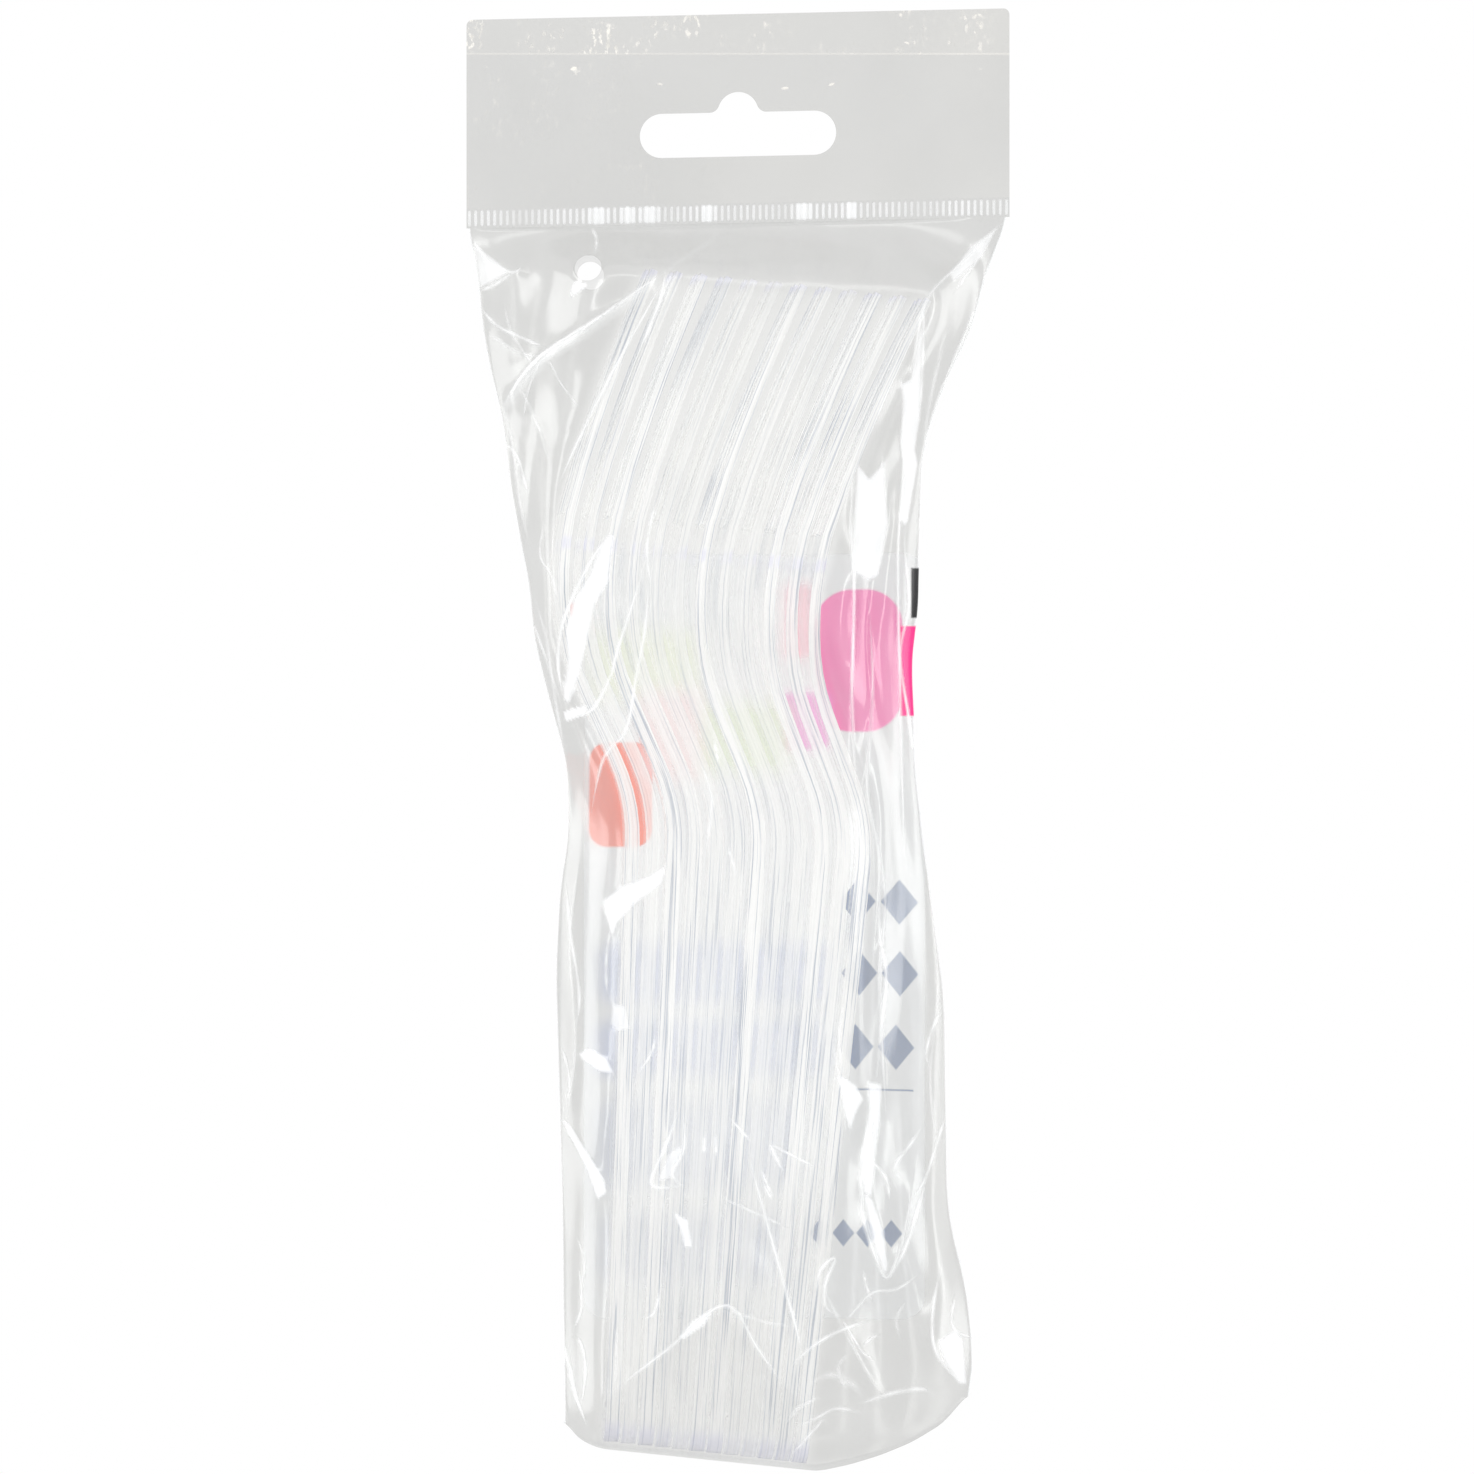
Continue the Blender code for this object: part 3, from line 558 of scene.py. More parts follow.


# folds of the near wall: places in the photograph, height and reach on each side in mm, and whiteness of the
# painted highlight along one side
nearFolds = (
    (((667, 274), (600, 322), (545, 355), (512, 392), (498, 420)), 3.2, 1.0, 7.0, 0.95),
    (((667, 274), (662, 300), (655, 320), (640, 356)), 1.2, 1.0, 1.6, 0.9),
    (((471, 231), (490, 258), (514, 270), (524, 262)), 1.6, 2.2, 1.4, 0.8),
    (((478, 287), (496, 281), (514, 270)), 1.0, 1.2, 1.2, 0.7),
    (((487, 330), (520, 352), (545, 358)), 1.1, 1.6, 1.6, 0.35),
    (((500, 400), (512, 440), (520, 500), (532, 552)), 1.2, 1.6, 2.0, 0.45),
    (((516, 376), (540, 430), (552, 470)), 0.9, 1.2, 1.6, 0.35),
    (((612, 532), (586, 575), (564, 627), (560, 670), (567, 704)), 1.4, 0.8, 1.6, 0.95),
    (((560, 720), (580, 716), (596, 707), (612, 676), (618, 653), (634, 604),
      (643, 576)), 1.0, 0.7, 0.9, 0.85),
    (((650, 576), (646, 630), (637, 678), (627, 730), (605, 758), (592, 812)), 1.0, 0.8, 1.0, 0.75),
    (((536, 600), (548, 640), (556, 700), (566, 760)), 1.0, 1.0, 1.2, 0.5),
    (((1002, 230), (968, 262), (926, 306), (912, 370), (905, 450), (899, 532)), 2.0, 1.6, 2.6, 0.55),
    (((948, 330), (930, 400), (922, 470), (916, 560)), 1.0, 1.0, 1.4, 0.4),
    (((855, 463), (850, 520), (853, 600), (851, 700), (856, 800)), 1.4, 1.0, 1.6, 0.7),
    (((899, 380), (902, 470), (897, 560), (900, 700), (903, 850)), 1.6, 1.0, 1.4, 0.55),
    (((875, 830), (884, 900), (879, 980), (885, 1110)), 1.2, 0.9, 1.2, 0.65),
    (((832, 1041), (842, 1090), (851, 1137)), 0.9, 0.9, 1.0, 0.55),
    (((868, 600), (872, 690), (866, 790), (878, 860), (872, 960)), 1.0, 1.0, 1.4, 0.45),
    (((560, 1117), (575, 1140), (590, 1162), (610, 1184)), 1.0, 0.9, 1.4, 0.7),
    (((747, 1150), (775, 1250), (801, 1349), (792, 1364)), 0.7, 0.5, 0.8, 0.75),
    (((610, 1390), (668, 1346), (725, 1302), (758, 1346), (786, 1387)), 1.0, 0.7, 1.6, 0.7),
    (((860, 1168), (868, 1225), (886, 1276), (905, 1225), (915, 1168)), 1.2, 0.9, 1.4, 0.55),
    (((940, 1267), (932, 1314), (936, 1352), (962, 1385)), 1.4, 1.0, 1.6, 0.8),
    (((825, 1414), (792, 1452)), 0.8, 1.0, 1.2, 0.6),
    (((563, 1335), (572, 1380), (587, 1423)), 0.9, 0.9, 1.2, 0.7),
    (((580, 860), (570, 940), (576, 1040), (566, 1130)), 0.9, 0.9, 1.4, 0.4),
    (((925, 880), (938, 980), (930, 1080), (941, 1180)), 1.0, 1.0, 1.4, 0.4),
    (((820, 1280), (850, 1340), (884, 1400)), 0.9, 1.0, 1.4, 0.35),
    (((700, 760), (712, 800), (706, 850)), 0.5, 0.6, 0.9, 0.6),
)

# finer creases without height of their own, drawn only as painted highlight strips: places, whiteness and
# width
fineCreaseHighlights = (
    (((762, 1180), (772, 1198)), 0.8, 1.0),
    (((720, 1194), (734, 1201), (789, 1226)), 0.45, 0.9),
    (((798, 1325), (762, 1318), (724, 1306)), 0.35, 1.2),
    (((792, 1362), (812, 1344), (840, 1328), (872, 1318)), 0.75, 1.2),
    (((840, 1318), (849, 1314), (872, 1291), (895, 1288), (919, 1272)), 0.55, 1.0),
    (((840, 1314), (854, 1337), (863, 1351), (877, 1360)), 0.6, 1.0),
    (((817, 1295), (820, 1268), (835, 1256), (825, 1282), (826, 1305), (840, 1313)), 0.85, 1.1),
    (((863, 1180), (861, 1208), (870, 1240), (884, 1278)), 0.95, 1.6),
    (((926, 1180), (916, 1212), (905, 1245), (889, 1277)), 0.85, 1.3),
    (((956, 1291), (951, 1319), (958, 1332), (974, 1338)), 0.7, 1.0),
    (((859, 1402), (891, 1392), (923, 1388), (934, 1397)), 0.6, 1.5),
    (((796, 1425), (817, 1415), (836, 1406), (863, 1411)), 0.5, 1.2),
    (((568, 1339), (579, 1337), (586, 1365), (582, 1402)), 0.75, 1.0),
    (((570, 1355), (575, 1392), (588, 1424)), 0.7, 1.0),
    (((579, 1263), (582, 1305), (572, 1332)), 0.6, 1.1),
    (((644, 1316), (655, 1309), (661, 1284)), 0.8, 1.1),
    (((618, 1318), (616, 1383)), 0.35, 0.9),
    (((640, 1069), (652, 1051), (656, 1032)), 0.85, 1.0),
    (((612, 922), (607, 960), (608, 995)), 0.6, 1.2),
    (((679, 1106), (668, 1139), (652, 1176), (659, 1185), (684, 1183)), 0.95, 1.1),
    (((684, 1111), (684, 1148), (672, 1171), (687, 1187)), 0.8, 1.0),
    (((705, 1132), (704, 1152)), 0.9, 1.3),
    (((716, 1132), (716, 1154)), 0.8, 1.1),
    (((730, 1116), (746, 1134), (752, 1140)), 0.8, 1.0),
    (((769, 1139), (774, 1152), (783, 1169)), 0.9, 1.2),
    (((769, 1141), (778, 1146), (816, 1166)), 0.7, 0.9),
    (((760, 1166), (772, 1194)), 0.8, 1.1),
    (((876, 1079), (871, 1120), (864, 1157), (859, 1196)), 0.95, 2.4),
    (((869, 1157), (885, 1176), (889, 1199)), 0.75, 1.2),
    (((922, 1125), (913, 1139), (894, 1166), (903, 1180)), 0.6, 1.4),
    (((943, 1005), (931, 1032), (926, 1055), (930, 1068)), 0.7, 1.1),
    (((947, 1111), (938, 1139), (926, 1176), (913, 1196)), 0.7, 1.2),
    (((880, 880), (878, 926), (885, 972), (882, 1009), (876, 1075)), 0.85, 1.3),
    (((843, 1005), (839, 1032), (841, 1070)), 0.65, 1.1),
    (((566, 880), (571, 935), (580, 995), (575, 1032)), 0.7, 1.3),
    (((657, 500), (648, 549), (652, 588)), 0.7, 1.0),
    (((520, 553), (527, 571), (529, 606), (547, 659), (564, 708)), 0.6, 1.1),
    (((547, 522), (542, 557), (555, 580), (560, 610)), 0.55, 1.0),
    (((909, 500), (904, 544), (909, 602), (900, 655), (909, 721), (918, 787), (926, 836),
      (935, 889)), 0.7, 1.1),
    (((714, 739), (719, 765)), 0.8, 1.3),
    (((728, 844), (736, 875)), 0.6, 1.2),
    (((591, 223), (597, 238), (596, 255)), 0.7, 1.2),
    (((479, 301), (500, 325), (548, 349)), 0.7, 1.2),
    (((548, 355), (562, 385), (585, 416)), 0.40, 0.8),
    (((545, 356), (530, 390), (524, 424)), 0.45, 0.9),
    (((500, 440), (518, 458), (530, 500)), 0.6, 1.1),
    (((669, 276), (645, 319), (615, 373), (579, 446), (556, 500)), 0.75, 1.0),
    (((1000, 241), (970, 325), (940, 392)), 0.6, 1.3),
    (((922, 307), (922, 337), (919, 422)), 0.7, 1.1),
    (((505, 300), (512, 330), (538, 372)), 0.4, 0.9),
    (((656, 285), (602, 324), (550, 359), (524, 384), (504, 414)), 0.34, 4.0),
    (((590, 330), (570, 343), (548, 358), (536, 369)), 0.95, 2.6),
    (((863, 1268), (866, 1284), (872, 1300)), 0.6, 1.1),
    (((880, 1332), (871, 1337), (863, 1343)), 0.6, 1.2),
    (((905, 1300), (896, 1318), (900, 1338)), 0.4, 1.0),
    (((812, 1380), (830, 1372), (852, 1382), (862, 1396)), 0.34, 2.4),
    (((846, 1352), (838, 1366), (846, 1388)), 0.40, 1.6),
    (((786, 1420), (800, 1404), (822, 1394)), 0.40, 1.4),
    (((560, 1040), (570, 1080), (564, 1110)), 0.5, 1.1),
    (((552, 820), (560, 860), (556, 900)), 0.5, 1.1),
    (((552, 930), (556, 980), (553, 1040)), 0.4, 1.2),
    (((575, 1230), (585, 1262), (578, 1300)), 0.4, 1.0),
    (((952, 300), (966, 280), (990, 248)), 0.5, 1.0),
)

# patches of the near wall that catch the light, as a painted highlight: corners in the photograph, height in
# mm, and whiteness
nearHighlightPatches = (
    (((471, 231), (514, 270), (478, 287)), 0.8, 0.42),
    (((855, 461), (862, 471), (868, 479), (877, 469), (884, 453), (885, 471), (889, 525), (884, 556),
      (878, 578), (868, 583), (850, 572), (850, 532), (853, 498)), 0.9, 0.66),
    (((605, 912), (603, 900), (622, 884), (650, 874), (670, 861), (662, 884), (634, 906), (619, 922),
      (613, 940)), 0.9, 1.0),
    (((612, 1000), (627, 1002), (633, 1028), (617, 1032), (609, 1023)), 0.5, 0.55),
    (((576, 1054), (590, 1046), (608, 1054), (617, 1073), (600, 1070)), 0.8, 1.0),
    (((682, 1140), (684, 1150), (675, 1176), (662, 1181), (656, 1176), (668, 1150)), 0.8, 0.55),
    (((560, 1117), (572, 1124), (606, 1176), (608, 1190), (598, 1198), (588, 1170)), 0.7, 0.90),
    (((672, 1208), (688, 1217), (693, 1245), (684, 1245), (680, 1226)), 0.6, 0.75),
    (((678, 1336), (692, 1317), (714, 1306), (704, 1323), (684, 1336)), 0.8, 0.90),
    (((936, 1340), (956, 1328), (964, 1340), (968, 1385), (958, 1384), (944, 1364)), 0.8, 0.85),
    (((564, 712), (590, 704), (586, 716), (566, 722)), 0.6, 0.85),
    (((832, 1072), (843, 1074), (857, 1083), (864, 1097), (857, 1111), (850, 1134), (843, 1111),
      (839, 1088)), 0.9, 0.80),
    (((862, 1190), (872, 1196), (884, 1230), (888, 1266), (884, 1276), (872, 1240)), 0.8, 0.80),
    (((600, 548), (608, 538), (617, 533), (611, 584), (598, 606), (590, 640), (582, 676), (572, 704),
      (564, 700), (568, 660), (566, 630), (573, 604), (590, 578)), 0.8, 0.95),
    (((866, 1078), (882, 1082), (880, 1120), (876, 1150), (872, 1196), (862, 1190), (860, 1150),
      (868, 1110)), 0.6, 0.80),
    (((1003, 226), (970, 250), (946, 280), (952, 290), (984, 262)), 0.5, 0.45),
    (((577, 281), (590, 288), (583, 293), (572, 299), (573, 290)), 0.5, 0.95),
    (((896, 372), (902, 386), (908, 382), (915, 345), (923, 318), (921, 389), (921, 420), (916, 451),
      (919, 464), (909, 522), (904, 529), (896, 519), (902, 478), (897, 444), (900, 406)), 0.6, 0.62),
    (((569, 650), (574, 652), (580, 690), (568, 708), (563, 690)), 0.6, 0.50),
)

# how the listed folds and patches rise and take their painted highlight
strokes = {
    "lift": 0.6,  # of the listed heights
    "taper": 0.12,  # share of a fold's length at each end
    "endShare": 0.35,  # of itself that a fold keeps at its ends
    "foldHighlight": 0.24,
    "highlightReach": 0.30,  # of the fold's reach on that side
    "patchOut": 0.0001,
    "patchSoft": 0.00085,
    "narrowSoft": 0.55,  # of the depth of a narrow patch
    "patchSlope": 0.0016,  # how far inward a patch rises
    "uneven": 0.20,
    "unevenWaves": ((0.0017, 0.0029), (-0.0031, 0.0041)),
}

# the smaller creases that both walls have
crumple = {
    "mostSlant": 0.9,
    "stretch": (0.6, 1.5),
    # how far the creases bend, and over what length, down the bag and across it
    "bendDown": (0.35, 0.021),
    "bendAcross": (0.20, 0.013),
    "bendScale": (0.5, 1.3),
    # size of the places that have creases, and from where they begin and are whole
    "placeSize": (0.016, 0.024),
    "placeScale": (0.6, 1.4),
    "placeFrom": (-0.25, 0.5),
    # seed, number of creases, distance between them across and down, and height
    "near": (
        (5, 9, 0.013, 0.090, 0.00040),
        (11, 8, 0.022, 0.026, 0.00035),
        (23, 8, 0.007, 0.018, 0.00008),
    ),
    "far": (
        (41, 9, 0.014, 0.085, 0.00050),
        (47, 8, 0.023, 0.027, 0.00040),
        (53, 8, 0.008, 0.020, 0.00008),
    ),
}


def swell(pick, at, length, scale):
    # a wave along one direction, of a random length and place
    return np.sin(at / length * pick.uniform(*scale) + pick.uniform(0, 6))


def facets(x, z, seed, count, wide, tall, height):
    # straight creases in several directions, as a crumpled film has
    pick = np.random.default_rng(seed)
    total = np.zeros(x.shape)
    down, downLength = crumple["bendDown"]
    aside, asideLength = crumple["bendAcross"]
    placeWide, placeTall = crumple["placeSize"]
    for turn in range(count):
        slant = pick.uniform(-crumple["mostSlant"], crumple["mostSlant"])
        across = (x * math.cos(slant) / wide + z * math.sin(slant) / tall) * pick.uniform(*crumple["stretch"])
        bend = down * swell(pick, z, downLength, crumple["bendScale"])
        bend += aside * np.sin(x / asideLength + pick.uniform(0, 6))
        wave = np.abs(2 * np.mod(across + bend + pick.uniform(0, 1), 1) - 1)
        here = swell(pick, x, placeWide, crumple["placeScale"])
        here = here * swell(pick, z, placeTall, crumple["placeScale"])
        total += (wave - 0.5) * ease(here, *crumple["placeFrom"])
    return height * total / math.sqrt(count)


def nearStrokes(x, z):
    # the lift of the near wall's folds and patches, and the whiteness of their painted highlight
    lift = np.zeros(x.shape)
    white = np.zeros(x.shape)
    mm = 0.001
    for places, height, first, second, glare in nearFolds:
        away, hand, share = alongLine(x, z, curved(places))
        reach = np.where(hand > 0, first, second) * mm
        taper = np.minimum(ease(share, 0, strokes["taper"]), ease(1 - share, 0, strokes["taper"]))
        ends = strokes["endShare"] + (1 - strokes["endShare"]) * taper
        lift = np.maximum(lift, height * strokes["lift"] * mm * ends * np.exp(-away / reach))
        # a painted highlight on one side of each fold
        shine = np.exp(-away / (strokes["highlightReach"] * reach)) * (hand < 0)
        white = np.maximum(white, glare * ends * strokes["foldHighlight"] * shine)
    (a, b), (c, d) = strokes["unevenWaves"]
    uneven = 1 - strokes["uneven"] + strokes["uneven"] * np.sin(x / a + z / b) * np.sin(x / c + z / d)
    for places, height, glare in nearHighlightPatches:
        depth = insideShape(x, z, places)
        soft = min(strokes["patchSoft"], strokes["narrowSoft"] * depth.max())
        # a painted highlight over each patch
        white = np.maximum(white, glare * uneven * ease(depth, -strokes["patchOut"], soft))
        lift += height * strokes["lift"] * mm * np.minimum(depth / strokes["patchSlope"], 1)
    return lift, white


def ridgeWhiteningAndHighlight(shape, x, z):
    # a sharp fold is paler along its crest: partly stress whitening, partly a painted highlight
    along = np.hypot(np.diff(x, axis=1), np.diff(z, axis=1)).mean()
    bend = np.zeros(shape.shape)
    around = shape[1:-1, :-2] + shape[1:-1, 2:] + shape[:-2, 1:-1] + shape[2:, 1:-1]
    bend[1:-1, 1:-1] = np.abs(around - 4 * shape[1:-1, 1:-1]) / along
    return ease(bend, *pouch["ridgeBend"]) * pouch["ridgeWhitenAndHighlight"]


def rolled(x, z):
    # the header and the film near it hang a little higher on the right
    return z + x * pouch["headerRoll"] * ease(z, *pouch["rollFrom"])


def setValues(mesh, values):
    # numbers at the points of a mesh, for its material
    for key, found in values.items():
        attribute = mesh.attributes.new(key, "FLOAT", "POINT")
        attribute.data.foreach_set("value", np.ravel(found).astype(np.float32))


def addPiece(name, mesh):
    piece = bpy.data.objects.new(name, mesh)
    scene.collection.objects.link(piece)
    return piece


def finishPiece(piece, material, slot, *nodes):
    piece.data.materials.append(material)
    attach(piece, "root")
    if nodes:
        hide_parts(*nodes)


def gridMesh(name, x, y, z, values, flip):
    rows, columns = x.shape
    points = np.stack([x, y, z], axis=-1).reshape(-1, 3)
    index = np.arange(rows * columns).reshape(rows, columns)
    quads = np.stack([index[:-1, :-1], index[1:, :-1], index[1:, 1:], index[:-1, 1:]], axis=-1).reshape(-1, 4)
    if flip:
        quads = quads[:, ::-1]
    mesh = bpy.data.meshes.new(name)
    mesh.from_pydata(points.tolist(), [], quads.tolist())
    setValues(mesh, values)
    mesh.shade_smooth()
    mesh.update()
    return addPiece(name, mesh)


def cutVent(piece):
    # the vent's edge goes onto its circle, and what is inside comes out
    ventX, ventZ, radius = pouch["vent"]
    bm = bmesh.new()
    bm.from_mesh(piece.data)
    for v in bm.verts:
        away = math.hypot(v.co.x - ventX, v.co.z - ventZ)
        if abs(away - radius) < pouch["ventSnap"]:
            v.co.x = ventX + (v.co.x - ventX) * radius / away
            v.co.z = ventZ + (v.co.z - ventZ) * radius / away
    inside = []
    for face in bm.faces:
        middle = face.calc_center_median()
        if math.hypot(middle.x - ventX, middle.z - ventZ) < radius - pouch["ventInside"]:
            inside.append(face)
    bmesh.ops.delete(bm, geom=inside, context="FACES")
    bm.to_mesh(piece.data)
    bm.free()


# painted highlight strips along the crests of the folds
crest = {
    "half": 0.00036,
    "height": 0.00010,
    "clear": 0.00003,  # above the film
    "step": 0.0006,  # between its points
    "foldWidth": 1.2,  # of a listed fold, as the finer creases have in their list
    "taper": 0.25,  # share of the length at each end
    "endWidth": 0.3,
    "endWhite": 0.25,
    "uneven": 0.22,
    "unevenWave": 19,
    "unevenPlace": (9, 900),
    "white": (0.97, 0.98, 0.98, 1),
    "clearColour": (1, 1, 1, 1),
    "mostCover": 0.95,
    "roughness": 0.12,
}


def crestHighlightMaterial():
    shader = Shader(bpy.data.materials.new("film_crest_highlight"))
    # white where a strip carries its painted highlight, clear at its sides
    cover = shader.attribute("whitening_and_highlight").least(crest["mostCover"])
    skin = shader.skin({"Base Color": crest["white"], "Roughness": crest["roughness"], "IOR": film["index"]})
    return shader.surface(shader.mixLayers(cover, shader.clear(crest["clearColour"]), skin), film["passing"])


def evenly(points, step):
    # points an even step apart on a line, and which way the line runs at each
    run = np.array(points)
    far = np.concatenate([[0], np.cumsum(np.hypot(*np.diff(run, axis=0).T))])
    at = np.linspace(0, far[-1], max(5, int(far[-1] / step)))
    line = np.stack([np.interp(at, far, run[:, k]) for k in (0, 1)], axis=1)
    ahead = np.gradient(line, axis=0)
    return line, ahead / np.hypot(ahead[:, :1], ahead[:, 1:])


def crestRow(wall, place, ahead, reach):
    # three points across a crest, each a little above the film, where there is film
    (px, pz), (dx, dz) = place, ahead
    row = []
    for aside, rise in ((-1, 0), (0, crest["height"]), (1, 0)):
        x, z = px - dz * reach * aside, pz + dx * reach * aside
        z = float(rolled(x, z))
        hit = wall.ray_cast(Vector((x, -pouch["castFrom"], z)), Vector((0, 1, 0)))[0]
        if hit is not None:
            row.append((x, hit.y - crest["clear"] - rise, z))
    return row


def addCrestHighlights(wall):
    # a painted highlight along each fold's rounded crest, as a narrow white strip a little above the film
    points, quads, white = [], [], []
    strips = [(fold[0], fold[4], crest["foldWidth"]) for fold in nearFolds] + list(fineCreaseHighlights)
    perWidth, perMetre = crest["unevenPlace"]
    for places, glare, width in strips:
        line, ahead = evenly(curved(places), crest["step"])
        share = np.linspace(0, 1, len(line))
        taper = np.minimum(ease(share, 0, crest["taper"]), ease(1 - share, 0, crest["taper"]))
        broken = np.sin(share * crest["unevenWave"] + width * perWidth + line[0, 0] * perMetre)
        broken = 1 - crest["uneven"] + crest["uneven"] * broken
        reach = crest["half"] * width * (crest["endWidth"] + (1 - crest["endWidth"]) * taper)
        shine = glare * broken * (crest["endWhite"] + (1 - crest["endWhite"]) * taper)
        last = None
        for place, way, half, bright in zip(line, ahead, reach, shine):
            row = crestRow(wall, place, way, half)
            if len(row) < 3:
                last = None
                continue
            first = len(points)
            points += row
            white += [0, bright, 0]
            if last is not None:
                quads += [(last, last + 1, first + 1, first), (last + 1, last + 2, first + 2, first + 1)]
            last = first
    mesh = bpy.data.meshes.new("film_crest_highlights")
    mesh.from_pydata(points, [], quads)
    setValues(mesh, {"whitening_and_highlight": white})
    mesh.shade_smooth()
    mesh.update()
    finishPiece(addPiece("film_crest_highlights", mesh), crestHighlightMaterial(), "bag_film")
    print("crests made")


def drapedWall(bag, forks, x, z, side):
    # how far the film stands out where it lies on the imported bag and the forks, and how tight it is
    stack = castWall(forks, x, z, side)
    depth = soften(castWall(bag, x, z, side), pouch["drape"])
    depth = np.maximum(depth, np.where(stack > 0, stack + pouch["clearance"], 0))
    depth = soften(depth, pouch["settle"])
    depth[:, 0] = depth[:, -1] = 0
    depth[-1, :] = 0
    depth[0, :] = pouch["weldDepth"]
    over = soften((stack > 0).astype(float), pouch["tautSpread"])
    return depth, np.clip(over * pouch["tautGain"] - pouch["tautCut"], 0, 1)


def addPouch():
    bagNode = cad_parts["header_bag"]
    outline = Outline(bagNode)
    bag = treeOf(bagNode)
    forks = treeOf(*(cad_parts[name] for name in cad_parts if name.startswith("fork_")))
    x, z = wallGrid(outline)
    edge = np.minimum(x - outline.leftAt(z), outline.rightAt(z) - x)
    walls = (("film_near_wall", -1, crumple["near"]), ("film_far_wall", 1, crumple["far"]))
    for name, side, crumples in walls:
        near = side < 0
        depth, taut = drapedWall(bag, forks, x, z, side)
        lift, white = nearStrokes(x, z) if near else (0, np.zeros(x.shape))
        relief = lift + sum(facets(x, z, *one) for one in crumples)
        loose = ease(depth, *pouch["looseFrom"]) * (1 - pouch["tautness"] * taut)
        out = np.maximum(depth + loose * relief, depth * pouch["leastDepth"])
        white = np.maximum(white, ridgeWhiteningAndHighlight(out, x, z) * ease(depth, *pouch["ridgeDepth"]))
        white = np.maximum(white, pouch["seamWhite"] * np.exp(-((edge / pouch["seamWidth"]) ** 2)))
        taut = taut * (1 - ease(white, *pouch["tautWhite"]))
        taut = taut * (1 - pouch["hazeLow"] * ease(-z, *pouch["hazeFrom"]))
        if near:
            gusset = insideShape(x, z, pouch["gusset"])
            taut = taut * (1 - pouch["gussetDepth"] * ease(gusset, 0, pouch["gussetSoft"]))
        piece = gridMesh(name, x, side * out, rolled(x, z), {"whitening_and_highlight": white, "taut": taut}, not near)
        if near:
            addCrestHighlights(treeOf(piece))
        cutVent(piece)
        finishPiece(piece, filmMaterial(name, not near), "bag_film", *(("header_bag",) if near else ()))
    print("pouch walls made")


addPouch()


# header and weld

header = {
    "half": 0.04425,
    "top": 0.0127,
    "low": -0.0181,
    "corner": 0.0010,
    "layer": 0.00015,
    "slotWidth": 0.0320,
    "slotHeight": 0.0072,
    "bumpRadius": 0.0033,
    "fillet": 0.0016,
    "foldLine": 0.0062,
    "foldSoft": (-0.0001, 0.0002),
    "foldWidth": (0.00022, 0.00008),
    "foldMark": 0.10,
    "bandMark": 0.03,
    "cloudScale": 34.0,
    "cloudDepth": 0.20,
    "cloudBump": (0.15, 0.0004),
    # scuffs and painted glints of the folded top: how fine and long, and where they begin and are whole
    "speckScale": 1300.0,
    "speckStretch": (1.0, 1.0, 0.6),
    "speckFrom": (0.54, 0.70),
    "speckPatches": (120.0, 0.44, 0.60),
    "scuffBelow": 0.10,
    "scuffOnBand": 0.42,
    "wornAcross": (0.006, -0.030, 0.30, 1.0),  # from right to left, and how worn it is there
    "glintScale": 210.0,
    "glintStretch": (1.0, 1.0, 2.1),
    "glintFrom": (0.705, 0.76),
    "glint": 0.42,
    "glintHeight": (-0.002, 0.003),
    # a paler haze that grows to the right
    "haze": 0.26,
    "hazeClouds": (22.0, 0.38, 0.66),
    "hazeAcross": (-0.022, 0.012),
    # the colour of the scuffs and of the painted glints
    "scuffAndGlintColour": (0.98, 0.95, 0.88, 1),
    "scuffAndGlintWhite": 5.0,
    "scuffAndGlintMatt": 4.0,
    # the weld's ticks, and the places where they shine, which are a painted highlight
    "tickStep": 0.00011,
    "tickPitch": 0.00103,
    "tickWidth": 0.00052,
    "tickSoft": 0.0001,
    "tickEnds": (0.0001, 0.0005),
    "tickLift": 0.00005,
    "tickWhite": 0.27,
    "tickUneven": 0.15,
    "tickWaves": ((0.0071, 0.0), (0.0023, 1.3)),
    "tickShine": 0.32,
    "brightTicks": ((598, 0.0014), (628, 0.0010), (650, 0.0014), (708, 0.0010), (803, 0.0013), (851, 0.0009)),
}


def arc(centre, radius, start, end, count):
    angles = [start + (end - start) * k / count for k in range(count + 1)]
    return [(centre[0] + radius * math.cos(a), centre[1] + radius * math.sin(a)) for a in angles]


def slotOutline():
    bump, fillet = header["bumpRadius"], header["fillet"]
    end = header["slotHeight"] / 2
    reach = header["slotWidth"] / 2 - end
    joined = bump + fillet
    aside = math.sqrt(joined**2 - fillet**2)
    tilt = math.asin(fillet / joined)
    quarter = math.pi / 2
    points = arc((reach, -bump - end), end, -quarter, quarter, 20)
    points += arc((aside, fillet - bump), fillet, 3 * quarter, math.pi + tilt, 6)
    points += arc((0, -bump), bump, tilt, math.pi - tilt, 20)[1:-1]
    points += arc((-aside, fillet - bump), fillet, -tilt, -quarter, 6)
    points += arc((-reach, -bump - end), end, quarter, 3 * quarter, 20)
    return points


def headerOutline():
    half, top, low, corner = header["half"], header["top"], header["low"], header["corner"]
    quarter = math.pi / 2
    points = arc((half - corner, top - corner), corner, 0, quarter, 6)
    points += arc((corner - half, top - corner), corner, quarter, 2 * quarter, 6)
    points += [(x, low) for x in np.linspace(-half, half, 12)]
    return points


